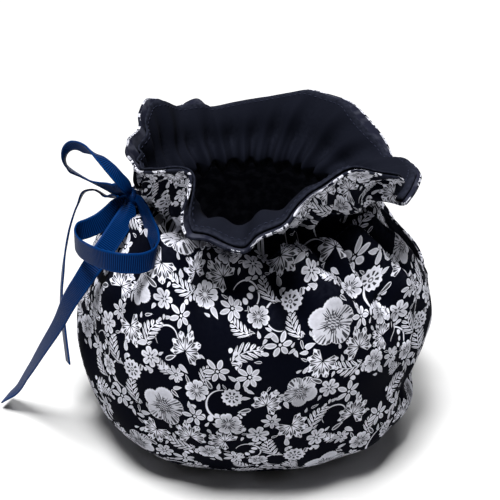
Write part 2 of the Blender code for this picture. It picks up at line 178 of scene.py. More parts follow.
# Azimuth at the neck, the rim's x, y and z, the first climb, and how far the lining stops short.
RUFFLE = np.array([
    (4, 86, -12, 152, 12, 1.5),
    (11, 84, -1, 151, 12, 1.5),
    (18, 79, 8, 148, 10, 1.5),
    (24, 75, 14, 147, 10, 1.5),
    (29, 73, 20, 150, 11, 2.0),
    (36, 70, 27, 154, 13, 3.5),
    (44, 62, 39, 160, 16, 4.0),
    (53, 54, 50, 163, 19, 2.0),
    (63, 42, 59, 164, 20, 1.5),
    (74, 30, 65, 163, 20, 1.5),
    (86, 13, 67, 159, 18, 1.5),
    (99, -9, 67, 155, 16, 1.5),
    (108, -23, 63, 154, 15, 2.0),
    (116, -29, 63, 159, 17, 4.5),
    (126, -39, 58, 157, 16, 2.0),
    (137, -47, 50, 163, 18, 1.5),
    (148, -55, 39, 170, 22, 3.0),
    (158, -58, 25, 168, 22, 5.0),
    (167, -59, 12, 165, 20, 7.0),
    (177, -63, 1, 164, 20, 12.0),
    (187, -62, -12, 163, 20, 11.0),
    (196, -57, -27, 163, 20, 4.0),
    (206, -51, -41, 168, 22, 1.5),
    (217, -42, -50, 173, 24, 1.5),
    (229, -29, -57, 176, 26, 1.5),
    (236, -29, -65, 172, 28, 3.0),
    (243, -33, -73, 163, 25, 4.0),
    (250, -30, -79, 155, 22, 3.0),
    (259, -20, -82, 154, 22, 2.0),
    (269, -3, -86, 150, 22, 1.5),
    (278, 6, -85, 156, 26, 1.5),
    (286, 16, -81, 161, 29, 1.5),
    (294, 23, -75, 167, 32, 1.5),
    (303, 32, -68, 171, 32, 1.5),
    (313, 46, -58, 175, 30, 1.5),
    (323, 60, -49, 172, 26, 1.5),
    (332, 74, -42, 163, 24, 1.5),
    (338, 70, -40, 153, 18, 1.5),
    (344, 76, -38, 149, 10, 1.5),
    (350, 81, -31, 150, 9, 1.5),
    (357, 85, -21, 153, 10, 1.5),
], float)
RIM_X, RIM_Y, RIM_Z, LIFT, BARE = 1, 2, 3, 4, 5

# Azimuth and height of both ends, half the width, and the depth.
TROUGHS = np.array([
    (312, 112, 321, 76, 7.0, 2.2),
    (321, 76, 325, 58, 6.0, 1.6),
    (340, 92, 333, 60, 8.0, 3.0),
    (333, 60, 322, 14, 7.0, 1.8),
    (331, 41, 353, 34, 7.5, 6.0),
    (286, 116, 291, 98, 9.0, 2.2),
    (245, 112, 239, 92, 8.0, 1.8),
    (206, 84, 214, 34, 8.0, 1.6),
    (262, 40, 258, 10, 9.0, 1.2),
    (300, 44, 306, 8, 9.0, 1.3),
    (60, 112, 66, 60, 9.0, 2.0),
    (118, 110, 112, 50, 10.0, 2.2),
    (150, 104, 146, 40, 9.0, 1.8),
    (32, 100, 30, 30, 9.0, 2.2),
])
print(len(BELLY), "belly rows,", len(RUFFLE), "ruffle folds and", len(TROUGHS), "troughs")

# %% [markdown]
# ## Lines, folds and angles
#
# Every fold is a bell: deepest along its line, and gone a few millimetres to each side. Directions round the
# cover are angles, which start again after a whole turn, and the length of a line is the sum of its short
# steps. These sums come back in nearly every piece, so each of them gets a name. A table gives only a few
# measured places, and a smooth cubic through them gives all the places between.

# %% Small sums that come back often
def bell(away, wide):
    """1 at nought, falling off to both sides: e to the power of minus (away / wide) squared."""
    return np.exp(-((away / wide) ** 2))


def turned(degrees):
    """The same angle between -180 and 180 degrees."""
    return (degrees + 180) % 360 - 180


def unit(vectors):
    """Each vector divided by its length."""
    return vectors / np.linalg.norm(vectors, axis=-1, keepdims=True)


def length_along(points):
    """How far each point of a line lies from its first: the lengths of its steps, added up."""
    return np.concatenate([[0.0], np.cumsum(np.linalg.norm(np.diff(points, axis=0), axis=1))])


# %% A smooth line through a table
def through(keys, values, at, period=None):
    """A cubic through (keys, values) whose slope at each key is that of its neighbours.

    With a period it closes on itself.
    """
    keys, values, at = (np.asarray(a, float) for a in (keys, values, at))
    if period:
        at = (at - keys[0]) % period + keys[0]
        keys = np.concatenate([[keys[-1] - period], keys, keys[:2] + period])
        values = np.concatenate([values[-1:], values, values[:2]])
    slopes = np.gradient(values, keys)
    i = np.clip(np.searchsorted(keys, at, side="right") - 1, 0, len(keys) - 2)
    span = keys[i + 1] - keys[i]
    t = (at - keys[i]) / span
    return (
        values[i] * (1 + 2 * t) * (1 - t) ** 2
        + values[i + 1] * t * t * (3 - 2 * t)
        + span * (slopes[i] * t * (1 - t) ** 2 - slopes[i + 1] * t * t * (1 - t))
    )


# %% The belly and the ruffle without their folds
def belly(azimuth, row):
    """Reach at this height, blended between the eight directions by Catmull-Rom weights, then turned."""
    rows = np.arange(len(BELLY), dtype=float)
    height = np.maximum(through(rows, BELLY[:, 0], row), 0.0)
    eighth = azimuth % 360 / 45
    first = np.floor(eighth).astype(int)
    t = eighth - first
    shares = (
        (2 * t**2 - t**3 - t) / 2,
        (3 * t**3 - 5 * t**2 + 2) / 2,
        (4 * t**2 - 3 * t**3 + t) / 2,
        (t**3 - t**2) / 2,
    )
    sides = np.stack([np.broadcast_to(through(rows, BELLY[:, k], row), t.shape) for k in range(1, 9)])
    reach = 0.0
    for step, share in enumerate(shares):
        reach = reach + share * np.take_along_axis(sides, ((first + step - 1) % 8)[None], 0)[0]
    height = height - NECK_FALL * np.sin(np.radians(azimuth)) * (height / NECK_HEIGHT) ** 3
    a = np.radians(azimuth)
    return np.stack([reach * np.cos(a), reach * np.sin(a), height], -1)


def ruffle_key(azimuth, which):
    """One column of the ruffle's table, read smoothly round the neck."""
    return through(RUFFLE[:, 0], RUFFLE[:, which], azimuth, period=360.0)


def ruffle(azimuth, climb):
    """A quadratic Bezier from the neck (climb 0) by a knee above it to the rim (climb 1)."""
    neck = belly(azimuth, np.full(np.shape(azimuth), float(NECK_ROW)))
    rim = np.stack([ruffle_key(azimuth, k) for k in (RIM_X, RIM_Y, RIM_Z)], -1)
    knee = neck + 0.12 * (rim - neck) * [1, 1, 0]
    knee[..., 2] += ruffle_key(azimuth, LIFT)
    t = np.asarray(climb)[..., None]
    return neck * (1 - t) ** 2 + 2 * knee * t * (1 - t) + rim * t * t


def smooth_cloth(azimuth, row):
    """Belly rows up to the neck, then the ruffle's climb in the next unit."""
    low = belly(azimuth, np.minimum(row, NECK_ROW))
    high = ruffle(azimuth, np.clip(row - NECK_ROW, 0, 1))
    return np.where((row > NECK_ROW)[..., None], high, low)


def outward(azimuth, row):
    """The unit normal of the smooth cloth, from small steps round it and up it."""
    up = np.minimum(row + 0.12, NECK_ROW + 1.0)
    down = np.maximum(row - 0.12, 0.0)
    across = smooth_cloth(azimuth + 1.0, row) - smooth_cloth(azimuth - 1.0, row)
    along = smooth_cloth(azimuth, up) - smooth_cloth(azimuth, down)
    return unit(np.cross(across, along))


middle = smooth_cloth(np.full(60, 270.0), np.linspace(0, NECK_ROW + 1, 60))
print("front line, hem to rim:", round(float(length_along(middle)[-1])), "mm")

# %% [markdown]
# ## Folds
#
# Where the ribbon draws the neck in, the spare cloth rises in uneven pleats. Each one starts as a sharp
# narrow valley in the neck and fades as it runs down the shoulder and up into the ruffle. Lower down there
# are a few long creases and shallow troughs, and the padding makes the whole surface slightly uneven.
# A cloth simulation would give folds too, but in other places on each run of the design, so each fold here
# is a row in a table: where it is, how deep, how wide and how far it reaches.

# %% Pleats round the neck
# Azimuth at the neck, degrees of drift on the way down, depth, reach down, width at the neck, reach up.
FRONT_PLEATS = np.array([
    (197, 0, 2.4, 22, 2.8, 22),
    (208, 2, 3.2, 26, 2.6, 22),
    (220, 0, 4.0, 30, 3.0, 22),
    (231, 2, 2.6, 18, 2.4, 24),
    (242, 2, 5.0, 36, 3.4, 24),
    (251, -2, 2.8, 22, 2.6, 26),
    (259, 4, 3.4, 22, 2.6, 24),
    (269, 2, 2.6, 18, 2.4, 26),
    (278, 8, 5.5, 36, 4.0, 26),
    (291, 6, 2.4, 16, 2.4, 26),
    (301, 8, 5.0, 34, 3.6, 30),
    (308, 8, 2.2, 14, 2.2, 28),
    (315, 6, 6.0, 44, 4.0, 32),
    (323, 8, 2.2, 14, 2.2, 26),
    (332, 6, 4.6, 34, 3.2, 30),
    (341, 8, 2.4, 16, 2.4, 26),
    (349, 6, 4.4, 36, 3.4, 24),
    (357, 4, 2.4, 18, 2.4, 20),
])
draw = np.random.default_rng(41)
count = 17
at = np.linspace(2, 188, count) + draw.uniform(-3.0, 3.0, count)
back_pleats = np.stack([
    at,
    draw.uniform(-5, 5, count),
    draw.uniform(2.8, 4.8, count),
    draw.uniform(16, 36, count),
    draw.uniform(2.2, 3.0, count),
    draw.uniform(10.0, 30.0, count),
], -1)
PLEATS = np.concatenate([FRONT_PLEATS, back_pleats])
GROOVE = 5.0  # the drawn ribbon pulls the neck in this far, and the cloth puffs out above and below it
OVERHANG_AT = 322.0  # the ruffle hangs over the neck most at this azimuth
GATHER = 1.3  # depth of the small gathers right at the neck


def neck_distance(row):
    """How far a row lies below the neck, measured down the cloth; above the neck it is negative."""
    rows = np.linspace(0, NECK_ROW + 1, 281)
    length = length_along(smooth_cloth(np.full(len(rows), 100.0), rows))
    return np.interp(NECK_ROW, rows, length) - np.interp(row, rows, length)


def pleat_height(azimuth, row):
    """Each pleat is a bell-shaped valley between two low ridges, times a fade with distance from the neck."""
    down = neck_distance(row)
    below = np.maximum(down, 0.0)
    above = np.maximum(-down, 0.0)
    radius = NECK_REACH + 0.7 * below + 0.6 * above
    groove = bell(down, 5.0)
    puff = bell(np.abs(down) - 10.0, 6.0)
    overhang = 0.9 * bell(turned(azimuth - OVERHANG_AT), 26.0) * (down < 0.0)
    total = GROOVE * ((0.45 + overhang) * puff - groove) + np.zeros(np.broadcast(azimuth, row).shape)
    for centre, drift, deep, reach, wide, climb in PLEATS:
        away = np.radians(turned(azimuth - centre - drift * below / 40.0)) * radius
        width = wide + 0.13 * below + 0.10 * above
        ridges = bell(np.abs(away) - 2.0 * width, 1.1 * width)
        fade = np.exp(-((below / reach) ** 1.6)) * bell(above, climb)
        total += deep * fade * (0.46 * ridges - bell(away, width))
    turn = np.radians(azimuth)
    gathers = np.cos(58 * turn + 2.4 * np.sin(5 * turn) + 1.5 * np.sin(11 * turn + 1.0))
    total += GATHER * (0.4 - (0.5 + 0.5 * gathers) ** 3) * bell(down, 8.0)
    return total


print(len(PLEATS), "pleats,", round(float(PLEATS[:, 2].max()), 1), "mm deep at most")


# %% Troughs and creases in the belly
# Sharper creases on top of the frame's troughs: azimuth and height of both ends, half width, depth.
CREASES = np.array([
    (337, 84, 334, 56, 4.5, 2.2),
    (334, 56, 330, 30, 4.0, 1.6),
    (210, 96, 216, 74, 3.4, 1.2),
    (221, 126, 221, 104, 4.0, 2.4),
    (240, 131, 244, 118, 4.5, 5.0),
    (236, 118, 238, 104, 5.0, 3.0),
    (272, 131, 283, 128, 6.0, 5.0),
    (275, 129, 283, 120, 5.5, 6.0),
    (283, 120, 289, 102, 5.5, 4.6),
    (302, 130, 306, 123, 4.5, 4.6),
    (306, 123, 311, 110, 5.0, 4.6),
    (315, 128, 319, 118, 5.0, 5.5),
    (319, 118, 319, 108, 5.5, 7.0),
    (319, 108, 325, 98, 5.5, 7.0),
    (325, 98, 327, 80, 5.0, 5.0),
    (332, 126, 334, 118, 3.2, 4.6),
    (334, 118, 339, 102, 3.6, 5.0),
    (128, 112, 124, 84, 3.4, 1.2),
    (70, 112, 74, 88, 3.2, 1.4),
    (96, 128, 94, 106, 4.5, 3.0),
    (52, 128, 56, 102, 5.0, 3.2),
    (140, 128, 136, 104, 4.6, 2.8),
    (24, 126, 22, 100, 4.0, 3.0),
    (166, 126, 168, 102, 4.0, 2.6),
])
# Rounded ridges between them, in the same columns.
RIDGES = np.array([
    (214, 118, 211, 98, 6.0, 2.6),
    (227, 127, 231, 112, 5.0, 3.4),
    (250, 130, 254, 112, 5.0, 2.8),
    (265, 131, 274, 119, 6.0, 4.2),
    (274, 119, 281, 100, 6.0, 3.6),
    (287, 132, 295, 123, 6.0, 4.8),
    (295, 123, 305, 110, 6.0, 4.4),
    (310, 131, 315, 118, 2.8, 3.4),
    (315, 118, 312, 104, 2.8, 2.8),
    (323, 128, 330, 115, 4.8, 5.4),
    (330, 115, 336, 98, 5.0, 4.8),
    (340, 125, 350, 108, 5.0, 4.2),
    (82, 126, 84, 108, 5.5, 2.2),
    (112, 126, 108, 106, 5.5, 2.2),
    (38, 126, 40, 104, 5.0, 2.2),
    (154, 126, 152, 106, 5.0, 2.0),
])


BELLY_ARC = math.radians(90.0)  # millimetres to a degree, round a belly of 90 mm


def sunk(azimuth, height, table):
    """Each row is a line on the belly; its depth falls off to both sides as a bell and fades at its ends."""
    depth = np.zeros(np.broadcast(azimuth, height).shape)
    for az_a, z_a, az_b, z_b, half, deep in table:
        u = turned(azimuth - az_a) * BELLY_ARC
        du = (az_b - az_a) * BELLY_ARC
        dz = z_b - z_a
        along = np.clip((u * du + (height - z_a) * dz) / (du * du + dz * dz), 0, 1)
        away = np.hypot(u - along * du, height - z_a - along * dz)
        fade = 0.35 + 0.65 * np.sin(np.pi * np.clip(along, 0.12, 0.88))
        depth = np.maximum(depth, deep * fade * bell(away, half))
    return depth


def padding(azimuth, height):
    """Seven slow waves in different directions, added up: the unevenness of padding."""
    wave = np.random.default_rng(7)
    x = np.radians(azimuth)
    total = 0.0
    for _ in range(7):
        turns = wave.integers(4, 15)
        total = total + np.sin(turns * x + height / wave.uniform(6.0, 14.0) + wave.uniform(0, 6.28))
    return 0.22 * total


def seam_pull(azimuth, height):
    """The cloth dips beside each side seam, as a bell, and puckers along it in uneven waves."""
    total = 0.0
    for seam in (SPOUT_SEAM, HANDLE_SEAM):
        away = np.radians(turned(azimuth - seam)) * 90.0
        pucker = np.sin(height * 0.62 + 2.0 * np.sin(height * 0.11 + seam))
        total = total + bell(away, 2.6) + 0.35 * pucker * bell(away, 6.0)
    return total


def fold_height(azimuth, row):
    """All the folds together, in millimetres along the outward normal."""
    height = np.interp(row, np.arange(len(BELLY)), BELLY[:, 0])
    on_belly = np.clip((row - 1.5) / 2.5, 0, 1) * np.clip(NECK_ROW - row, 0, 1)
    troughs = sunk(azimuth, height, TROUGHS) + sunk(azimuth, height, CREASES)
    ridges = sunk(azimuth, height, RIDGES)
    pulled = troughs + seam_pull(azimuth, height)
    return pleat_height(azimuth, row) + on_belly * (padding(azimuth, height) + ridges - pulled)


probe = fold_height(np.linspace(0, 360, 400)[None, :], np.linspace(2, 13, 120)[:, None])
print("folds run from", round(float(probe.min()), 1), "to", round(float(probe.max()), 1), "mm")

# %% [markdown]
# ## A sheet of cloth as a closed mesh
#
# Cloth has two faces and a rounded edge. Solidify could give it a thickness, but in tight folds its inner
# face would cross itself. Instead both faces are worked out from the same folds, and a row of small
# half-round strips joins them along the edge, as a turned edge does.

# %% Grids, edges and UVs
COLUMNS = 250
BELLY_STEPS = 8
CLIMB_STEPS = 44
LINING_DROP = 2  # the lining starts this many rows of the belly's table under the neck
HEM_ROW = 1.0  # up to this row the cloth lies flat on the table as the turned hem


def panel_grid(first_seam, second_seam, low_row, covered):
    """Azimuths and rows of one piece: each row runs from seam to seam, and stops short at the eyes.

    A covered piece, the lining, also stops short of the rim.
    """
    body_rows = np.arange(low_row * BELLY_STEPS, NECK_ROW * BELLY_STEPS + 1) / BELLY_STEPS
    climbs = np.arange(1, CLIMB_STEPS + 1) / CLIMB_STEPS
    share = np.linspace(0.0, 1.0, COLUMNS + 1)
    height = np.interp(body_rows, np.arange(len(BELLY)), BELLY[:, 0])
    edges = []
    for seam in (first_seam, second_seam):
        at_seam = belly(np.full(len(body_rows), seam), body_rows)
        column = 1 if seam % 360 == SPOUT_SEAM else 2
        in_eye = np.clip(height, EYES[0, 0], EYES[-1, 0])
        half = np.maximum(through(EYES[:, 0], EYES[:, column], in_eye), 0.0)
        edges.append(np.degrees((half + SEAM_GAP / 2) / np.hypot(at_seam[:, 0], at_seam[:, 1])))
    low = (first_seam + edges[0])[:, None]
    high = (second_seam - edges[1])[:, None]
    rim = low[-1] + (high[-1] - low[-1]) * share
    azimuth = np.concatenate([low + (high - low) * share, np.broadcast_to(rim, (CLIMB_STEPS, COLUMNS + 1))])
    reach = np.ones(COLUMNS + 1)
    if covered:
        reach = 1.0 - np.maximum(ruffle_key(rim, BARE), LEAST_BARE) / RUFFLE_LONG
    row = np.concatenate([
        np.broadcast_to(body_rows[:, None], (len(body_rows), COLUMNS + 1)),
        NECK_ROW + climbs[:, None] * reach,
    ])
    return azimuth, row


def cloth_plan(azimuth, row, middle):
    """Where each point lay before the cloth was sewn: metres across from the middle and up from the neck."""
    points = smooth_cloth(azimuth, row)
    steps = np.linalg.norm(np.diff(points, axis=0), axis=-1)
    up = np.concatenate([np.zeros((1, points.shape[1])), np.cumsum(steps, axis=0)])
    neck = int(np.argmin(np.abs(row[:, 0] - NECK_ROW)))
    up = up - up[neck]
    radius = np.hypot(points[..., 0], points[..., 1]).mean(axis=1, keepdims=True)
    spread = BELLY_REACH * np.sqrt(np.minimum(radius, BELLY_REACH) / BELLY_REACH)
    across = np.radians(azimuth - middle) * spread
    along_rim = length_along(points[-1])
    along_rim -= np.interp(middle, azimuth[-1], along_rim)
    climb = np.clip(row - NECK_ROW, 0, 1)
    blend = climb * climb * (3 - 2 * climb)
    across = across * (1 - blend) + along_rim * blend
    return np.stack([across, up], -1) * MM


def rounded_sheet(outer, inner, plan, steps=3):
    """Two grids joined along their border by a half circle of strips, over which the plan runs on.

    It gives the points, the quads, their UVs, and 1 for each quad on the reverse side.
    """
    count_up, count_round = outer.shape[:2]
    size = count_up * count_round
    where = np.arange(size).reshape(count_up, count_round)
    skin = np.stack([where[:-1, :-1], where[:-1, 1:], where[1:, 1:], where[1:, :-1]], -1).reshape(-1, 4)
    border = np.concatenate([where[0, :-1], where[:-1, -1], where[-1, :0:-1], where[:0:-1, 0]])
    away = np.zeros(outer.shape)
    middle = (outer + inner) / 2
    away[0] += middle[0] - middle[1]
    away[-1] += middle[-1] - middle[-2]
    away[:, 0] += middle[:, 0] - middle[:, 1]
    away[:, -1] += middle[:, -1] - middle[:, -2]
    away = unit(away.reshape(-1, 3)[border])
    top = outer.reshape(-1, 3)[border]
    bottom = inner.reshape(-1, 3)[border]
    centre = (top + bottom) / 2
    half = (top - bottom) / 2
    reach = np.linalg.norm(half, axis=1, keepdims=True)
    loops = [border]
    rings = []
    for k in range(1, steps + 1):
        turn = math.pi * k / (steps + 1)
        rings.append(centre + half * math.cos(turn) + away * reach * math.sin(turn))
        loops.append(np.arange(len(border)) + 2 * size + (k - 1) * len(border))
    loops.append(border + size)
    strips = [
        np.stack([np.roll(a, -1), a, b, np.roll(b, -1)], -1) for a, b in zip(loops[:-1], loops[1:])
    ]
    points = np.concatenate([outer.reshape(-1, 3), inner.reshape(-1, 3), *rings])
    quads = np.concatenate([skin, skin[:, ::-1] + size, *strips])
    past = np.zeros(plan.shape)
    past[0, :, 1] = -1.0
    past[-1, :, 1] = 1.0
    past[:, 0, 0] = -1.0
    past[:, -1, 0] = 1.0
    past = past.reshape(-1, 2)[border] * reach * MM
    flat = plan.reshape(-1, 2)
    turned = [flat[border] + past * (math.pi * k / (steps + 1)) for k in range(1, steps + 1)]
    uvs = np.concatenate([flat, flat, *turned])
    reverse = np.zeros(len(quads), dtype=np.int32)
    reverse[len(skin):2 * len(skin)] = 1
    return points, quads, uvs, reverse


# %% Meshes into pieces
def add_piece(name, points, faces, finishes, uvs=None, which=None, worn=None):
    """A smooth mesh object at the origin, its points given in millimetres before the cover is centred."""
    points = (np.asarray(points) - CENTRE) * MM
    mesh = bpy.data.meshes.new(name)
    mesh.vertices.add(len(points))
    mesh.vertices.foreach_set("co", points.astype(np.float32).ravel())
    corners = faces.shape[1]
    mesh.loops.add(faces.size)
    mesh.loops.foreach_set("vertex_index", faces.astype(np.int32).ravel())
    mesh.polygons.add(len(faces))
    mesh.polygons.foreach_set("loop_start", np.arange(0, faces.size, corners, dtype=np.int32))
    mesh.polygons.foreach_set("loop_total", np.full(len(faces), corners, dtype=np.int32))
    for finish in finishes:
        mesh.materials.append(finish)
    if which is not None:
        mesh.polygons.foreach_set("material_index", which.astype(np.int32))
    if uvs is not None:
        layer = mesh.uv_layers.new(name="cloth")
        layer.data.foreach_set("uv", uvs[faces.ravel()].astype(np.float32).ravel())
    if worn is not None:
        mesh.attributes.new("worn", "FLOAT", "POINT").data.foreach_set("value", worn.astype(np.float32))
    mesh.update(calc_edges=True)
    mesh.validate()
    mesh.shade_smooth()
    made = bpy.data.objects.new(name, mesh)
    bpy.context.scene.collection.objects.link(made)
    return made


def edge_wear(azimuth, row, count):
    """1 on the turned edges and less on the crests of folds, fading as a bell with distance from an edge."""
    from_rim = (row[-1:] - row) * RUFFLE_LONG
    from_hem = np.abs(row - HEM_ROW) * 6.0
    edges = bell(np.minimum(from_rim, from_hem), 1.8)
    crests = 0.3 * np.clip(fold_height(azimuth, row) / 4.0, 0.0, 1.0)
    worn = np.maximum(edges, crests).ravel()
    return np.concatenate([worn, worn, np.ones(count - 2 * len(worn))])


def sheet_area(name):
    """The area of one face of a sheet, in square metres."""
    faces = bpy.data.objects[name].data.polygons
    areas = np.empty(len(faces))
    faces.foreach_get("area", areas)
    return areas.sum() / 2


# %% [markdown]
# ## Sums on a shader's sockets
#
# A printed pattern is arithmetic on the cloth's own measurements. Written as nodes, one flower would be
# forty lines of wiring, so a small class wraps a socket: an expression such as 1 - edge * tone adds the
# Math nodes itself.

# %% Field and Finish
class Field:
    """A number that changes over the surface: sums on it add Math nodes."""

    def __init__(self, finish, socket):
        self.finish = finish
        self.socket = socket

    def sum(self, operation, *others, clamp=False):
        """One Math node that works on this number and the others."""
        node = self.finish.node(
            "ShaderNodeMath",
            {"operation": operation, "use_clamp": clamp},
            {i: value for i, value in enumerate((self, *others))},
        )
        return Field(self.finish, node.outputs[0])

    def __add__(self, other):
        return self.sum("ADD", other)

    __radd__ = __add__

    def __sub__(self, other):
        return self.sum("SUBTRACT", other)

    def __rsub__(self, other):
        return self.sum("MULTIPLY_ADD", -1.0, other)

    def __mul__(self, other):
        return self.sum("MULTIPLY", other)

    __rmul__ = __mul__

    def __truediv__(self, other):
        return self.sum("DIVIDE", other)

    def size(self):
        """The number without its sign."""
        return self.sum("ABSOLUTE")

    def root(self):
        return self.sum("SQRT")

    def power(self, exponent):
        return self.sum("POWER", exponent)

    def sine(self):
        return self.sum("SINE")

    def cosine(self):
        return self.sum("COSINE")

    def least(self, other):
        """The smaller of the two."""
        return self.sum("MINIMUM", other)

    def most(self, other):
        """The larger of the two."""
        return self.sum("MAXIMUM", other)

    def wrap(self, low, high):
        """The same place in the range from low to high, over and over."""
        return self.sum("WRAP", high, low)

    def rise(self, low, high):
        """0 up to low, 1 from high, and a straight climb between."""
        return self.sum("MULTIPLY_ADD", 1.0 / (high - low), -low / (high - low), clamp=True)

    def toward(self, other, share):
        """This number where the share is 0, and the other where it is 1."""
        made = self.finish.node("ShaderNodeMix", {"data_type": "FLOAT"}, {0: share, 2: self, 3: other})
        return Field(self.finish, made.outputs[0])


class Place:
    """A vector that changes over the surface, with the two sums that the print needs."""

    def __init__(self, finish, socket):
        self.finish = finish
        self.socket = socket

    def wrapped(self, high, low):
        """The same place between the corners low and high, over and over."""
        settings = {"operation": "WRAP"}
        made = self.finish.node("ShaderNodeVectorMath", settings, {0: self.socket, 1: high, 2: low})
        return Place(self.finish, made.outputs[0])

    def dot(self, weights):
        """The weighted sum of the three numbers."""
        settings = {"operation": "DOT_PRODUCT"}
        made = self.finish.node("ShaderNodeVectorMath", settings, {0: self.socket, 1: weights})
        return Field(self.finish, made.outputs["Value"])


class Finish:
    """A material under construction, and the one method that adds its nodes."""

    def __init__(self, name, **settings):
        self.material = bpy.data.materials.new(name)
        self.material.use_nodes = True
        self.tree = self.material.node_tree
        self.surface = self.tree.nodes["Principled BSDF"]
        self.set(self.surface, settings)

    def set(self, node, sockets):
        """Fills a node's sockets: a link or a field is wired in, and anything else is written in."""
        for key, value in sockets.items():
            socket = node.inputs[key]
            if isinstance(value, Field):
                value = value.socket
            if isinstance(value, bpy.types.NodeSocket):
                self.tree.links.new(value, socket)
            else:
                socket.default_value = value

    def node(self, kind, settings=None, sockets=None):
        """Any node: its type, its settings, then the values or links of its sockets."""
        made = self.tree.nodes.new(kind)
        for key, value in (settings or {}).items():
            setattr(made, key, value)
        self.set(made, sockets or {})
        return made

    def cloth_place(self):
        """Metres across and up the flat cloth, from the piece's own UV map."""
        place = self.node("ShaderNodeUVMap", {"uv_map": "cloth"})
        split = self.node("ShaderNodeSeparateXYZ", None, {0: place.outputs[0]})
        return Field(self, split.outputs[0]), Field(self, split.outputs[1])

    def joined(self, x, y, z):
        """Three numbers as one place."""
        return Place(self, self.node("ShaderNodeCombineXYZ", None, {0: x, 1: y, 2: z}).outputs[0])

    def noise(self, scale):
        """Soft noise from 0 to 1 in the cloth's own place."""
        place = self.node("ShaderNodeUVMap", {"uv_map": "cloth"}).outputs[0]
        made = self.node("ShaderNodeTexNoise", None, {"Vector": place, "Scale": scale, "Detail": 2.0})
        return Field(self, made.outputs[0])

    def mix(self, share, first, second):
        """A colour between two others."""
        made = self.node("ShaderNodeMix", {"data_type": "RGBA"}, {"Factor": share})
        self.set(made, {6: self.paint(first), 7: self.paint(second)})
        return made.outputs[2]

    def paint(self, colour):
        """A written colour gets its fourth number; a link is passed on as it is."""
        return (*colour, 1.0) if isinstance(colour, tuple) else colour

    def worn(self):
        """How rubbed each place is, from 0 to 1, stored on the mesh's points, broken up by noise."""
        made = self.node("ShaderNodeAttribute", {"attribute_name": "worn"})
        return Field(self, made.outputs["Fac"]) * self.noise(420.0).rise(0.30, 0.62)

    def bump(self, height, strength, distance):
        """A normal tilted by the height, which counts for the distance in metres where it is 1."""
        sockets = {"Strength": strength, "Distance": distance, "Height": height}
        return self.node("ShaderNodeBump", None, sockets).outputs[0]

    def wear(self, **sockets):
        """Links fields or colours to the surface's own sockets."""
        self.set(self.surface, {key.replace("_", " "): value for key, value in sockets.items()})
        return self.material


print("the shader's sums are ready")

# %% [markdown]
# ## The print
#
# The cotton is printed white on navy with a dense garden of flowers, leaves, sprigs and berries. The
# pattern repeats every 88 mm across, each repeat half a step off its neighbour, which printers call a half
# drop. Every motif is a formula in its own small frame, where it is about one unit in radius: a
# petal, for example, is the place where its half width exceeds the distance from its middle line. A table
# then says where each motif lies in the repeat, how it is turned and how big it is.

# %% One motif's own place
REPEAT_WIDE, REPEAT_HIGH = 88.0, 92.0
DROP = REPEAT_HIGH / 2 / REPEAT_WIDE


class Spot:
    """A motif's own frame: x, y, distance r and angle from its middle, in units of its size."""

    def __init__(self, x, y, square):
        self.x = x
        self.y = y
        self.r = square.root()
        self.angle = y.sum("ARCTAN2", x)


def nearest(place, table):
    """The frame of whichever motif in the table lies nearest, in units of that motif's size.

    The place is (across, up - across * drop, 1). Wrapping it round a motif steps over whole repeats. One dot
    product for each axis then subtracts the motif's middle, straightens the drop, turns and scales.
    """
    best = None
    for x, y, turn, size in table:
        low = y - x * DROP
        c = math.cos(math.radians(turn)) / size
        s = math.sin(math.radians(turn)) / size
        far_corner = (x + REPEAT_WIDE / 2, low + REPEAT_HIGH / 2, 1.5)
        near_corner = (x - REPEAT_WIDE / 2, low - REPEAT_HIGH / 2, 0.5)
        near = place.wrapped(far_corner, near_corner)
        side = c + s * DROP
        rise = c * DROP - s
        spot_x = near.dot((side, s, -x * side - low * s))
        spot_y = near.dot((rise, c, -x * rise - low * c))
        square = spot_x * spot_x + spot_y * spot_y
        if best is None:
            best = spot_x, spot_y, square
            continue
        closer = square.sum("LESS_THAN", best[2])
        best = best[0].toward(spot_x, closer), best[1].toward(spot_y, closer), best[2].least(square)
    return Spot(*best)


def arms(spot, count):
    """The frame folded into equal sectors: distance along a sector's middle, distance aside, angle."""
    a = spot.angle.wrap(-math.pi / count, math.pi / count)
    return spot.r * a.cosine(), (spot.r * a.sine()).size(), a


# %% Flowers
def star(spot, petals=6):
    """Separate oval petals with pointed ends, widest at the middle, round a dot."""
    along, side, _ = arms(spot, petals)
    t = (along * (1.0 + 0.13 * (spot.angle + 0.7).cosine()) - 0.20) * 1.26
    edge = ((t * (1.0 - t)).power(0.62) * 0.52 - side).most(0.12 - spot.r)
    light = edge.rise(0.0, 0.03) * (1.0 - 0.38 * edge.rise(0.06, 0.12))
    return light, edge.rise(-0.09, -0.05) * (1.06 - t).rise(0.0, 0.04)


def small_star(spot):
    """The same flower with seven petals."""
    return star(spot, 7)


def blossom(spot, petals=5):
    """Broad heart-shaped petals with a bright edge, dark tapering strokes at the heart and a white dot."""
    _, _, a = arms(spot, petals)
    share = a.size() * (petals / math.pi)
    notch = (1.0 - share * 5.0).most(0.0)
    edge = 0.96 - 0.36 * share.power(5.0) - 0.09 * notch - spot.r
    gap = (math.pi / petals - a.size()) * spot.r
    cut = gap.rise(0.012, 0.04).most((0.30 - spot.r).rise(0.0, 0.05))
    taper = (spot.r - 0.14) * 2.4
    strokes = (spot.angle * (petals * 3.0) + 0.5 * (spot.angle * 2.0).sine()).cosine()
    reach = 0.60 - 0.12 * share + 0.07 * (spot.angle * 4.0 + 1.0).sine() - spot.r
    strokes = (strokes - taper + 0.55).rise(0.0, 0.25) * spot.r.rise(0.13, 0.17) * reach.rise(0.0, 0.06)
    light = edge.rise(0.0, 0.04) * cut * (1.0 - 0.96 * strokes)
    return light * (1.0 - 0.30 * edge.rise(0.06, 0.24)), edge.rise(-0.10, -0.06)


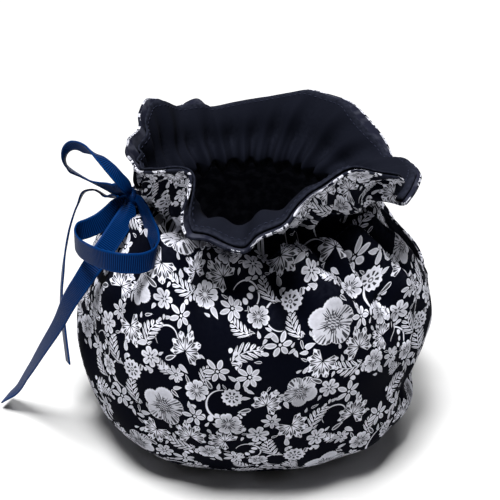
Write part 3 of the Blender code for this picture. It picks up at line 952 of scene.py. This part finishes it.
def primrose(spot):
    """Six round petals, deeply cut, with a dark star at the heart and one dark line along each petal."""
    _, side, a = arms(spot, 6)
    share = a.size() * (6 / math.pi)
    edge = 0.97 - 0.55 * share.power(3.0) - spot.r
    dark_star = (0.46 - 0.34 * share - spot.r).rise(0.0, 0.05) * spot.r.rise(0.12, 0.16)
    line = (0.030 - side).rise(0.0, 0.02) * (0.74 - spot.r).rise(0.0, 0.05) * spot.r.rise(0.16, 0.2)
    light = edge.rise(0.0, 0.04) * (1.0 - 0.95 * dark_star.most(line))
    return light * (1.0 - 0.26 * edge.rise(0.06, 0.18)), edge.rise(-0.10, -0.06)


def rosette(spot):
    """A scalloped round flower with a ring of dark dashes and a dotted middle."""
    edge = 0.93 + 0.07 * (spot.angle * 13.0).cosine() - spot.r
    ring = spot.r.rise(0.28, 0.33) * (0.64 - spot.r).rise(0.0, 0.05)
    dashes = (spot.angle * 8.0).cosine().rise(-0.1, 0.2) * ring
    eye = spot.r.rise(0.08, 0.11) * (0.20 - spot.r).rise(0.0, 0.03)
    light = edge.rise(0.0, 0.04) * (1.0 - 0.95 * dashes) * (1.0 - 0.85 * eye)
    return light * (1.0 - 0.15 * edge.rise(0.06, 0.16)), edge.rise(-0.12, -0.08)


def poppy(spot):
    """A large flower: five uneven lobes, hatched from the edge on one side, and a dark speckled heart."""
    r = spot.r
    a = spot.angle
    lobes = (a * 2.5 + 0.4).cosine().size().power(0.7)
    edge = 0.72 + 0.22 * lobes + 0.05 * (a + 2.6).cosine() + 0.022 * (a * 22.0).cosine().size() - r
    hatch = (a * 34.0 + 2.0 * (a * 7.0).sine()).cosine() + 0.5 * (a * 13.0).sine()
    margin = hatch.rise(-0.3, 0.1) * (0.34 + 0.12 * (a * 9.0).sine() - edge).rise(0.0, 0.06)
    margin = margin * (a + 1.2).cosine().rise(-0.2, 0.2) * edge.rise(0.02, 0.05)
    reach = 0.68 - 0.30 * lobes + 0.13 * (a * 17.0).sine() - r
    folds = (hatch - 1.2 * (r - 0.4)).rise(-0.3, 0.1) * reach.rise(0.0, 0.06) * r.rise(0.20, 0.26)
    specks = (spot.x * 27.0 + (spot.y * 9.0).sine() * 2.0).sine()
    specks = specks * (spot.y * 25.0 + (spot.x * 8.0).sine() * 2.0).sine()
    specks = specks.size().rise(0.15, 0.35) * (0.38 + 0.08 * (a * 6.0).cosine() - r).rise(0.0, 0.06)
    light = edge.rise(0.0, 0.03) * (1.0 - 0.92 * margin.most(folds)) * (1.0 - 0.85 * specks)
    light = light * (1.0 - 0.20 * edge.rise(0.04, 0.16))
    return light * (0.86 - 0.18 * (a - 0.4).cosine() * r), edge.rise(-0.08, -0.05)


# %% Leaves, sprigs and berries
def maple(spot, lobes=9, spread=2.44):
    """Narrow toothed lobes fanned round one end, with dark slanting slits beside each spine."""
    along, side, a = arms(spot, lobes)
    t = along / (0.82 + 0.20 * spot.angle.cosine() + 0.06 * (spot.angle * 3.0).cosine())
    lobe = t.power(0.80) * (1.0 - t).power(0.78) * 0.70
    edge = lobe + 0.024 * (along * 24.0 - 0.6).cosine() - side
    slits = edge.rise(0.050, 0.064) * side.rise(0.016, 0.030)
    slits = slits * (along * 16.0 - side * 26.0).cosine().rise(-0.35, 0.0)
    within = (1.0 - t).rise(0.0, 0.02) * (spread - spot.angle.size()).rise(0.0, 0.08)
    apart = ((math.pi / lobes - a.size()) * spot.r).rise(0.012, 0.028)
    light = edge.rise(0.0, 0.025) * (1.0 - 0.92 * slits * t.rise(0.16, 0.24)) * apart * within
    return light, edge.rise(-0.05, -0.02) * within


def sprig(spot):
    """A bent stem with long slanting pointed leaflets on both sides, each with a dark vein."""
    y = spot.y + 0.34 * spot.x * spot.x
    t = y.size() / (0.62 - 0.40 * spot.x * spot.x)
    cell = (spot.x - 0.95 * y.size() + 0.08 * y.sum("SIGN")).wrap(-0.19, 0.19).size()
    edge = (t * (1.0 - t)).power(0.75) * 0.42 - cell
    ends = (1.0 - spot.x.size()).rise(0.0, 0.04)
    leaflets = edge.rise(0.0, 0.03) * (cell.rise(0.014, 0.032).most((0.35 - t).rise(0.0, 0.05)))
    light = leaflets.most((0.036 - y.size()).rise(0.0, 0.02)) * ends
    return light, edge.rise(-0.05, -0.02) * ends * (1.04 - t).rise(0.0, 0.03)


def berries(spot, spread=1.15, pitch=0.46):
    """A row of ovals along an arc of radius one."""
    a = spot.angle.wrap(-pitch / 2, pitch / 2) * (1.0 / (pitch * 0.40))
    u = (spot.r - 1.0) * (1.0 / 0.24)
    edge = 1.0 - u * u - a * a
    light = edge.rise(0.0, 0.25) * (spread - spot.angle.size()).rise(0.0, 0.02)
    return light, light


def leaf(spot):
    """The outline of a single pointed leaf."""
    t = (spot.x + 1.0) * 0.5
    edge = t.root() * (1.0 - t) * 0.95 - spot.y.size() - (spot.x.size() - 1.0).most(0.0)
    light = edge.rise(0.0, 0.03) * (1.0 - 0.9 * edge.rise(0.12, 0.15))
    return light, edge.rise(-0.10, -0.05)


def petal(spot):
    """A single filled pointed leaf."""
    t = (spot.x + 1.0) * 0.5
    edge = t.root() * (1.0 - t) * 1.2 - spot.y.size() - (spot.x.size() - 1.0).most(0.0)
    return edge.rise(0.0, 0.03) * (1.0 - 0.30 * edge.rise(0.08, 0.16)), edge.rise(-0.10, -0.05)


def curl(spot):
    """A tapering stem along most of a circle."""
    taper = 0.080 - 0.022 * spot.angle.size()
    arc = (taper - (spot.r - 1.0).size()).rise(0.0, 0.03) * (2.2 - spot.angle.size()).rise(0.0, 0.03)
    return arc, arc


# %% The repeat
# Where each kind lies in the repeat: across and up in millimetres, turn in degrees and size.
REPEAT = {
    curl: [
        (62, 52, 215, 9.0),
        (3, 54, 160, 7.5),
        (31, 84, 90, 6.5),
        (74, 18, 30, 7.0),
    ],
    sprig: [
        (10, 48, 100, 8.0),
        (37, 19, 165, 8.0),
        (73, 83, 20, 8.5),
        (21, 86, 60, 7.5),
        (85, 21, 110, 8.0),
        (70, 2, 140, 6.5),
        (53, 70, 60, 6.5),
        (30, 68, 150, 5.5),
    ],
    berries: [
        (54, 52, 250, 8.5),
        (20, 58, 120, 7.0),
        (70, 22, 300, 7.5),
        (31, 62, 60, 6.5),
        (76, 42, 180, 7.0),
        (46, 8, 90, 7.5),
        (64, 78, 20, 6.0),
        (14, 70, 250, 6.5),
    ],
    maple: [
        (42, 80, 70, 11.0),
        (44, 29, 100, 11.0),
        (62, 27, 150, 10.0),
        (24, 27, 240, 10.5),
        (8, 84, 300, 10.5),
        (83, 53, 60, 9.5),
    ],
    poppy: [
        (30, 46, 20, 12.5),
        (12, 12, 200, 9.5),
    ],
    rosette: [
        (11, 61, 0, 6.0),
        (66, 57, 20, 5.6),
    ],
    blossom: [
        (48, 59, 10, 6.6),
        (64, 40, 30, 7.4),
        (53, 17, 80, 7.0),
        (80, 8, 44, 6.0),
    ],
    primrose: [
        (22, 72, 50, 5.8),
        (79, 33, 15, 6.2),
        (27, 11, 5, 5.4),
    ],
    star: [
        (59, 72, 10, 6.9),
        (2, 40, 5, 7.0),
        (38, 5, 25, 6.8),
        (47, 44, 50, 6.0),
    ],
    small_star: [
        (75, 70, 40, 6.6),
        (67, 12, 50, 6.2),
        (37, 66, 15, 4.8),
        (86, 42, 15, 5.0),
    ],
    leaf: [
        (34, 75, 30, 3.6),
        (54, 64, 120, 3.4),
        (72, 49, 200, 3.6),
        (20, 17, 150, 3.5),
    ],
    petal: [
        (16, 78, 200, 3.4),
        (41, 70, 320, 3.2),
        (69, 65, 80, 3.0),
        (58, 9, 300, 3.2),
        (6, 73, 100, 3.0),
        (18, 36, 15, 3.2),
    ],
}
# Round patches of bare navy that the small leaves keep out of: across, up and radius.
RESTS = [(58, 90, 9.0), (2, 26, 8.5), (88, 73, 6.0)]


# %% Small leaves in the gaps
def repeated(x, y, radius):
    """A circle in the repeat and in the eight repeats round it."""
    steps = [(i, j) for i in (-1, 0, 1) for j in (-1, 0, 1)]
    return [(x + i * REPEAT_WIDE, y + i * REPEAT_HIGH / 2 + j * REPEAT_HIGH, radius) for i, j in steps]


def scatter(kinds, tries, seed):
    """Drops small motifs at random places and keeps each one that clears everything placed before it."""
    draw = np.random.default_rng(seed)
    placed = [(x, y, 0.75 * size) for table in REPEAT.values() for x, y, _, size in table] + RESTS
    circles = [again for x, y, r in placed for again in repeated(x, y, r)]
    kept = 0
    for _ in range(tries):
        x = draw.uniform(0, REPEAT_WIDE)
        y = draw.uniform(0, REPEAT_HIGH)
        size = draw.uniform(1.5, 2.7)
        turn = draw.uniform(0, 360)
        kind = kinds[draw.integers(len(kinds))]
        known = np.array(circles)
        if (np.hypot(known[:, 0] - x, known[:, 1] - y) < known[:, 2] + 0.70 * size).any():
            continue
        REPEAT[kind].append((x, y, turn, size))
        kept += 1
        circles += repeated(x, y, 0.70 * size)
    print(kept, "small leaves in the gaps,", sum(len(table) for table in REPEAT.values()), "motifs in all")


scatter((petal, petal, petal, leaf), 600, 5)


def printed_light(finish):
    """How white the print is at each place: each kind clears its own ground and then adds its light."""
    across, up = finish.cloth_place()
    across = across * 1000.0
    up = up * 1000.0
    place = finish.joined(across, up - across * DROP, 1.0)
    total = None
    for motif, table in REPEAT.items():
        light, clear = motif(nearest(place, table))
        total = light if total is None else total * (1.0 - clear) + light
    return total


# %% [markdown]
# ## Finishes
#
# Printed cotton is matt. Its threads cross at right angles a third of a millimetre apart, so a fine bump
# follows the cloth's own measurements. The white ink is a little uneven where the threads dip, and the
# navy ground soaks up nearly all light.

# %% Cotton and ribbon finishes
def weave(finish, threads_per_metre):
    """Over and under: the product of two sets of waves, one along each thread direction."""
    across, up = finish.cloth_place()
    warp = (across * (math.pi * threads_per_metre)).sine()
    weft = (up * (math.pi * threads_per_metre)).sine()
    return 0.5 + 0.5 * warp * weft


def cotton(name, specular):
    """A finish for woven cotton with everything except its colour."""
    finish = Finish(name, **{"Roughness": 0.88, "Specular IOR Level": specular})
    threads = weave(finish, 2600.0) * 0.5 + finish.noise(900.0) * 0.5
    finish.wear(Normal=finish.bump(threads, 0.25, 0.0002))
    return finish


printed = cotton("printed_cotton", 0.03)
blotches = printed.noise(75.0).rise(0.35, 0.6)
ink = printed_light(printed) * (0.60 + 0.36 * printed.noise(700.0) + 0.30 * blotches)
rubbed = printed.worn()
ground = printed.mix(rubbed, (0.0009, 0.0013, 0.0042), (0.0120, 0.0135, 0.0220))
printed.wear(Base_Color=printed.mix(ink * (1.0 - 0.4 * rubbed), ground, (0.70, 0.708, 0.79)))

reverse = cotton("cotton_reverse", 0.03)
ghost = reverse.noise(160.0).rise(0.45, 0.62)
reverse.wear(Base_Color=reverse.mix(ghost, (0.010, 0.011, 0.020), (0.030, 0.032, 0.045)))

lining = cotton("lining_cotton", 0.06)
plain = lining.mix(lining.noise(60.0), (0.0018, 0.0024, 0.0055), (0.0036, 0.0044, 0.0091))
lining.wear(Base_Color=lining.mix(lining.worn(), plain, (0.0110, 0.0127, 0.0213)))

ribbon_finish = Finish("ribbon_satin", **{"Roughness": 0.42, "Specular IOR Level": 0.035})
ribs_across, ribs_along = ribbon_finish.cloth_place()
RIB_PITCH = 0.00105
# The ribs are one wave along the ribbon, used twice: as the height of the ribs in the bump, and in the
# colour, where each rib crest and the two edge cords are a painted highlight and each furrow between ribs is
# painted shade.
rib_relief_and_painted_light = 0.5 + 0.5 * (ribs_along * (2.0 * math.pi / RIB_PITCH)).cosine()
edge_cord = (ribs_across * 1000.0).size().rise(4.0, 4.35)
rib_relief_and_painted_light = rib_relief_and_painted_light * (1.0 - edge_cord) + 0.8 * edge_cord
# Colour: painted shade in the furrows between ribs, painted highlight on the rib crests and edge cords.
ribbon_finish.wear(
    Base_Color=ribbon_finish.mix(rib_relief_and_painted_light, (0.0001, 0.0032, 0.020), (0.0005, 0.0235, 0.108)),
    Normal=ribbon_finish.bump(rib_relief_and_painted_light, 0.5, 0.0004),
)
thread = Finish("navy_thread", **{"Roughness": 0.6, "Specular IOR Level": 0.1})
place = thread.node("ShaderNodeTexCoord").outputs["Object"]
fibres = Field(thread, thread.node("ShaderNodeTexNoise", None, {"Vector": place, "Scale": 2500.0}).outputs[0])
thread.wear(
    Base_Color=thread.mix(fibres.rise(0.3, 0.7), (0.006, 0.0075, 0.018), (0.020, 0.024, 0.046)),
    Normal=thread.bump(fibres, 0.4, 0.0001),
)
print(len(printed.tree.nodes), "nodes in the print")

# %% [markdown]
# ## The two printed panels
#
# Each panel is one piece of printed cotton from the left side seam to the right one, turned in at the hem
# and gathered at the neck. Both faces come from the same folds; the face inside the belly shows the
# reverse of the print, where the ink has hardly come through.

# %% Panels
SEAMS = {"front": (HANDLE_SEAM, SPOUT_SEAM + 360.0), "back": (SPOUT_SEAM, HANDLE_SEAM)}
INNER_SHARE = 0.85  # the inner face follows the folds a little less deeply


def laid(azimuth, row, depth, share):
    """The smooth cloth moved out by its folds and in by a depth, both along its normal."""
    moved = fold_height(azimuth, row) * share - depth
    return smooth_cloth(azimuth, row) + outward(azimuth, row) * moved[..., None]


def sewn(name, azimuth, row, outer, inner, seams, finishes):
    """A closed sheet between two faces, with its plan and its wear; a second finish is for the reverse."""
    plan = cloth_plan(azimuth, row, sum(seams) / 2)
    points, quads, uvs, side = rounded_sheet(outer, inner, plan)
    worn = edge_wear(azimuth, row, len(points))
    made = add_piece(name, points, quads, finishes, uvs, side if len(finishes) > 1 else None, worn)
    print(name, len(quads) * 2, "triangles,", round(sheet_area(name), 4), "m2")
    return made


for half, seams in SEAMS.items():
    azimuth, row = panel_grid(*seams, 0, covered=False)
    thick = HEM_THICK + (CLOTH - HEM_THICK) * np.clip((row - HEM_ROW) / 0.5, 0, 1)
    outer = laid(azimuth, row, 0.0, 1.0)
    inner = laid(azimuth, row, thick, INNER_SHARE)
    flat = row <= HEM_ROW
    outer[..., 2] = np.where(flat, 0.0, np.maximum(outer[..., 2], 0.0))
    inner[..., 2] = np.where(flat, HEM_THICK, inner[..., 2])
    finishes = (printed.material, reverse.material)
    panel = sewn(f"printed_panel_{half}", azimuth, row, outer, inner, seams, finishes)
    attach(panel, "root")
    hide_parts(f"panel_{half}")

# %% [markdown]
# ## The lining of the ruffle
#
# A facing of plain navy cotton is sewn inside the ruffle and ends just under the neck. It lies against the
# printed cloth with a little air between, and stops short of the rim, so the print rolls over the edge.

# %% Linings
for half, seams in SEAMS.items():
    azimuth, row = panel_grid(*seams, NECK_ROW - LINING_DROP, covered=True)
    outer = laid(azimuth, row, CLOTH + AIR, INNER_SHARE)
    inner = laid(azimuth, row, CLOTH + AIR + LINING, INNER_SHARE)
    facing = sewn(f"ruffle_lining_{half}", azimuth, row, outer, inner, seams, (lining.material,))
    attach(facing, "root")
    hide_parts(f"lining_{half}")

# %% [markdown]
# ## Stitches
#
# Navy thread holds the turned hem, the channel that the ribbon runs in, and the edge of the lining. Painted
# stitches would vanish at an angle, so each one is a short piece of thread that arches over the cloth and
# dips into it at both ends. There are hundreds, so each has only twenty-eight faces, and one mesh holds
# the rows of a whole piece.

# %% Rows of stitches
STITCH_LONG = 2.3
STITCH_PITCH = 3.1
STITCH_THICK = 0.36
STITCHED_IN = 2.6  # the lining's row lies this far inside its edge


def stitch_row(azimuth, row, depth, share, side):
    """Threads at even steps on a line over the cloth: each is a six-sided tube along a shallow parabola."""
    line = laid(azimuth, row, depth, share)
    way = np.gradient(line, axis=0)
    face = np.cross(way, laid(azimuth, row + 0.03, depth, share) - line) * side
    reach = length_along(line)
    at = np.arange(STITCH_PITCH, reach[-1] - STITCH_PITCH, STITCH_PITCH)
    middle, way, face = (
        np.stack([np.interp(at, reach, values[:, i]) for i in range(3)], -1) for values in (line, way, face)
    )
    way = unit(way)
    face = unit(face)
    wide = np.cross(face, way)
    t = np.linspace(-1.0, 1.0, 5)[None, :, None, None]
    turn = np.linspace(0.0, 2.0 * math.pi, 7)[None, None, :-1, None]
    radius = STITCH_THICK / 2 * (1.0 - 0.35 * t**4)
    way, face, wide = (values[:, None, None, :] for values in (way, face, wide))
    rise = STITCH_THICK * (0.55 - 1.1 * t * t) + radius * np.sin(turn)
    points = middle[:, None, None, :] + way * t * STITCH_LONG / 2 + face * rise + wide * radius * np.cos(turn)
    return points.reshape(-1, 3)


def stitches(name, rows):
    """All the threads of some rows as one mesh: four bands of six quads, and two quads at each end."""
    points = np.concatenate(rows)
    rings = np.arange(30).reshape(5, 6)
    after = np.roll(rings, -1, axis=1)
    bands = np.stack([rings[:-1], after[:-1], after[1:], rings[1:]], -1).reshape(-1, 4)
    first = rings[0]
    last = rings[-1]
    ends = np.array([first[[0, 3, 2, 1]], first[[0, 5, 4, 3]], last[[0, 1, 2, 3]], last[[0, 3, 4, 5]]])
    one = np.concatenate([bands, ends])
    starts = np.arange(0, len(points), 30)[:, None, None]
    made = add_piece(name, points, (one[None] + starts).reshape(-1, 4), (thread.material,))
    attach(made, "root")
    print(name, len(starts), "stitches")


STITCHED_ROWS = (2.45, NECK_ROW - 0.9, NECK_ROW + 0.14)  # the hem's, and both sides of the ribbon's channel
for half, (first_seam, second_seam) in SEAMS.items():
    azimuth = np.linspace(first_seam + 1.5, second_seam - 1.5, 1600)
    level = np.ones(len(azimuth))
    on_panel = [stitch_row(azimuth, level * row, 0.0, 1.0, 1) for row in STITCHED_ROWS]
    stitches(f"panel_stitches_{half}", on_panel)
    bare = np.maximum(ruffle_key(azimuth, BARE), LEAST_BARE)
    near_edge = NECK_ROW + 1.0 - (bare + STITCHED_IN) / RUFFLE_LONG
    on_lining = stitch_row(azimuth, near_edge, CLOTH + AIR + LINING, INNER_SHARE, -1)
    stitches(f"facing_stitches_{half}", [on_lining])

# %% [markdown]
# ## The ribbon
#
# The neck is drawn in by a ribbed ribbon, tied in a bow on the handle's side: two loops, two loose tails
# and the knot. A ribbon is stiff across and limp along, so each run is a strip carried along a smooth
# line, with a direction at each bend for its width. Where it enters the knot it is crushed narrower.

# %% Ribbon measurements
RIBBON_WIDE = 9.5
RIBBON_THICK = 1.0
RIBBON_STEP = 0.8
PINCH = 0.5  # the share of its width that the ribbon loses at the knot
PINCH_REACH = 6.0  # and how far from the knot that is felt

# The middle line's x, y and z at each bend, then the way the width points.
UPPER_LOOP = np.array([
    (-61.2, -13.2, 144.6, -0.3, -0.9, 0.2),
    (-65.0, -17.0, 152.0, -0.3, -0.9, 0.1),
    (-70.0, -17.0, 158.5, -0.3, -0.9, 0.1),
    (-75.5, -14.0, 163.0, -0.2, -0.9, 0.3),
    (-81.5, -10.0, 165.5, 0.0, -0.7, 0.7),
    (-87.5, -5.0, 164.5, 0.0, -0.6, 0.8),
    (-93.0, 1.0, 158.5, 0.1, -0.8, 0.5),
    (-95.5, 6.0, 151.0, 0.2, -0.9, 0.2),
    (-94.0, 9.0, 144.5, 0.2, -0.9, 0.2),
    (-89.0, 9.5, 140.5, 0.1, -0.9, 0.4),
    (-82.5, 7.0, 138.0, 0.0, -0.8, 0.5),
    (-75.0, 3.0, 137.0, 0.2, -0.7, 0.6),
    (-69.5, -2.0, 137.5, 0.3, -0.6, 0.6),
    (-65.0, -7.0, 140.3, 0.3, -0.5, 0.7),
])
LOWER_LOOP = np.array([
    (-57.2, -14.6, 138.2, 0.1, 0.1, 1.0),
    (-56.0, -17.5, 138.0, 0.1, 0.1, 1.0),
    (-53.0, -25.0, 137.0, 0.2, 0.1, 1.0),
    (-50.0, -35.0, 135.5, 0.3, 0.1, 0.9),
    (-47.0, -45.0, 134.0, 0.3, 0.2, 0.9),
    (-46.0, -53.0, 132.0, 0.2, 0.2, 0.9),
    (-47.5, -59.0, 131.0, 0.1, 0.2, 1.0),
    (-51.5, -63.0, 131.0, 0.0, 0.2, 1.0),
    (-57.0, -65.5, 132.0, 0.0, 0.2, 1.0),
    (-62.0, -66.0, 132.5, 0.0, 0.2, 1.0),
    (-68.0, -64.0, 132.5, 0.0, 0.2, 1.0),
    (-74.0, -59.0, 131.5, 0.0, 0.1, 1.0),
    (-80.0, -51.0, 129.5, 0.0, 0.1, 1.0),
    (-85.5, -41.0, 127.5, 0.0, 0.1, 1.0),
    (-88.0, -31.0, 126.5, 0.0, 0.1, 1.0),
    (-87.0, -24.0, 126.0, 0.0, 0.2, 1.0),
    (-82.0, -20.0, 126.0, 0.0, 0.3, 1.0),
    (-76.5, -17.0, 127.5, 0.0, 0.3, 1.0),
    (-71.0, -14.5, 131.0, 0.0, 0.3, 1.0),
    (-67.5, -12.5, 134.5, 0.0, 0.2, 1.0),
    (-64.8, -12.0, 136.6, 0.0, 0.2, 1.0),
])
LONG_TAIL = np.array([
    (-61.2, -15.6, 136.4, 0.8, -0.1, -0.5),
    (-62.5, -19.5, 133.5, 0.8, -0.1, -0.5),
    (-66.0, -27.5, 130.5, 0.8, -0.1, -0.5),
    (-70.0, -35.0, 127.0, 0.8, -0.1, -0.5),
    (-74.5, -41.0, 122.5, 0.8, -0.1, -0.5),
    (-79.5, -44.0, 116.5, 0.7, -0.4, -0.4),
    (-85.0, -45.0, 108.0, 0.7, -0.6, -0.3),
    (-91.0, -42.0, 97.0, 0.6, -0.7, -0.2),
    (-100.0, -34.0, 76.0, 0.4, -0.8, 0.0),
    (-110.5, -24.0, 54.0, 0.3, -0.9, 0.1),
    (-121.0, -13.0, 31.5, 0.2, -0.9, 0.2),
    (-130.0, -5.0, 14.0, 0.2, -0.9, 0.3),
    (-137.0, 0.0, 5.0, 0.1, -0.9, 0.4),
])
SHORT_TAIL = np.array([
    (-64.9, -8.6, 134.8, -0.2, -0.2, 0.9),
    (-66.6, -3.6, 131.6, -0.1, -0.5, 0.8),
    (-70.0, 2.5, 131.0, 0.0, -0.9, 0.5),
    (-76.0, 8.0, 129.5, 0.0, -0.9, 0.5),
    (-82.0, 10.5, 131.5, 0.0, -0.9, 0.5),
    (-86.5, 11.0, 130.5, 0.0, -0.9, 0.5),
    (-91.0, 10.0, 123.0, 0.1, -0.9, 0.5),
    (-95.5, 8.5, 111.0, 0.1, -0.9, 0.5),
    (-98.5, 7.0, 98.0, 0.1, -0.9, 0.5),
    (-100.5, 5.0, 85.5, 0.2, -0.9, 0.5),
    (-102.0, 3.0, 73.0, 0.2, -0.9, 0.5),
    (-102.0, 0.0, 62.0, 0.3, -0.9, 0.5),
    (-101.0, -4.0, 49.5, 0.3, -0.9, 0.4),
    (-99.5, -9.0, 35.0, 0.3, -0.9, 0.4),
])
KNOT_AT = np.array([-60.8, -10.5, 138.5])
KNOT_SIZE = np.array([5.4, 8.6, 8.2])
INTO_KNOT = 0.6  # the share of the way to the middle of the knot that the hidden ends run on for


# %% Ribbon runs
def ribbon(name, node, stations, knotted):
    """A strip whose middle line is a smooth curve through the stations, its width turned as they say.

    Each knotted end runs on a short way into the knot, so that its cut end is hidden there.
    """
    start, end = stations[:1].copy(), stations[-1:].copy()
    start[:, :3] += (KNOT_AT - start[:, :3]) * INTO_KNOT
    end[:, :3] += (KNOT_AT - end[:, :3]) * INTO_KNOT
    stations = np.concatenate([start, stations] + ([end] if knotted[1] else []))
    reach = length_along(stations[:, :3])
    count = int(reach[-1] / RIBBON_STEP)
    at = np.linspace(0.0, reach[-1], count)
    line = np.stack([through(reach, stations[:, i], at) for i in range(3)], -1)
    across = np.stack([through(reach, stations[:, i], at) for i in range(3, 6)], -1)
    way = unit(np.gradient(line, axis=0))
    across = unit(across - way * (across * way).sum(1, keepdims=True))
    normal = np.cross(way, across)
    width = np.full(count, RIBBON_WIDE / 2)
    gutter = np.zeros(count)
    for to_end, held in zip((at, reach[-1] - at), knotted):
        if held:
            width *= 1.0 - PINCH * bell(to_end, PINCH_REACH)
            gutter += 1.1 * bell(to_end, 13.0)
    k = np.linspace(-1, 1, 13)[:, None]
    hollow = gutter * (np.cos(math.pi * k) * 0.5 + 0.1 * np.cos(3 * math.pi * k))
    centre = line + across * (width * k)[..., None] + normal * hollow[..., None]
    half = normal * RIBBON_THICK / 2
    plan = np.stack(np.broadcast_arrays(k * RIBBON_WIDE / 2, at), -1) * MM
    points, quads, uvs, _ = rounded_sheet(centre + half, centre - half, plan, steps=2)
    made = add_piece(name, points, quads, (ribbon_finish.material,), uvs)
    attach(made, "root")
    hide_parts(node)
    print(name, round(float(length_along(line)[-1])), "mm long,", len(quads) * 2, "triangles")


ribbon("bow_loop_upper", "ribbon_loop_upper", UPPER_LOOP, (True, True))
ribbon("bow_loop_lower", "ribbon_loop_lower", LOWER_LOOP, (True, True))
ribbon("bow_tail_long", "ribbon_tail_long", LONG_TAIL, (True, False))
ribbon("bow_tail_short", "ribbon_tail_short", SHORT_TAIL, (True, False))


# %% The knot
def knot():
    """A squarish barrel: a superellipse section whose size swells in the middle and closes at both ends."""
    turn = np.linspace(0, 2 * math.pi, 49)[None, :-1]
    t = np.linspace(-1, 1, 33)[:, None]
    rounding = 3.5
    squareness = 0.55
    swell = (1 - np.abs(t) ** rounding) ** (1 / rounding) * (1 - 0.06 * np.cos(5 * math.pi * t))
    x = KNOT_SIZE[0] / 2 * swell * np.sign(np.cos(turn)) * np.abs(np.cos(turn)) ** squareness
    z = KNOT_SIZE[2] / 2 * swell * np.sign(np.sin(turn)) * np.abs(np.sin(turn)) ** squareness
    y = np.broadcast_to(KNOT_SIZE[1] / 2 * t, x.shape)
    a = math.radians(HANDLE_SEAM - 180)
    points = np.stack([x * math.cos(a) - y * math.sin(a), x * math.sin(a) + y * math.cos(a), z], -1) + KNOT_AT
    size = turn.shape[1]
    inside = len(t) - 2
    rings = np.arange(inside * size).reshape(inside, size)
    after = np.roll(rings, -1, axis=1)
    quads = np.stack([rings[:-1], rings[1:], after[1:], after[:-1]], -1).reshape(-1, 4)
    low = np.full(size, rings.size)
    caps = [np.stack([low, rings[0], after[0]], -1), np.stack([low + 1, after[-1], rings[-1]], -1)]
    mesh_points = np.concatenate([points[1:-1].reshape(-1, 3), points[0, :1], points[-1, :1]])
    faces = quads.tolist() + np.concatenate(caps).tolist()
    mesh = bpy.data.meshes.new("bow_knot")
    mesh.from_pydata(((mesh_points - CENTRE) * MM).tolist(), [], faces)
    mesh.materials.append(ribbon_finish.material)
    round_it = np.concatenate([np.repeat(t[1:-1], size, 1).ravel() * 0.5, [-0.5, 0.5]]) * KNOT_SIZE[1] * MM
    along = np.concatenate([np.repeat(turn, inside, 0).ravel() * 3.6, [0.0, 0.0]]) * MM
    layer = mesh.uv_layers.new(name="cloth")
    corner = np.empty(len(mesh.loops), dtype=np.int32)
    mesh.loops.foreach_get("vertex_index", corner)
    layer.data.foreach_set("uv", np.stack([round_it, along], -1)[corner].astype(np.float32).ravel())
    mesh.shade_smooth()
    made = bpy.data.objects.new("bow_knot", mesh)
    bpy.context.scene.collection.objects.link(made)
    return made


bow_knot = knot()
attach(bow_knot, "root")
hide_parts("ribbon_knot")
print("knot tied:", len(bow_knot.data.polygons), "faces")
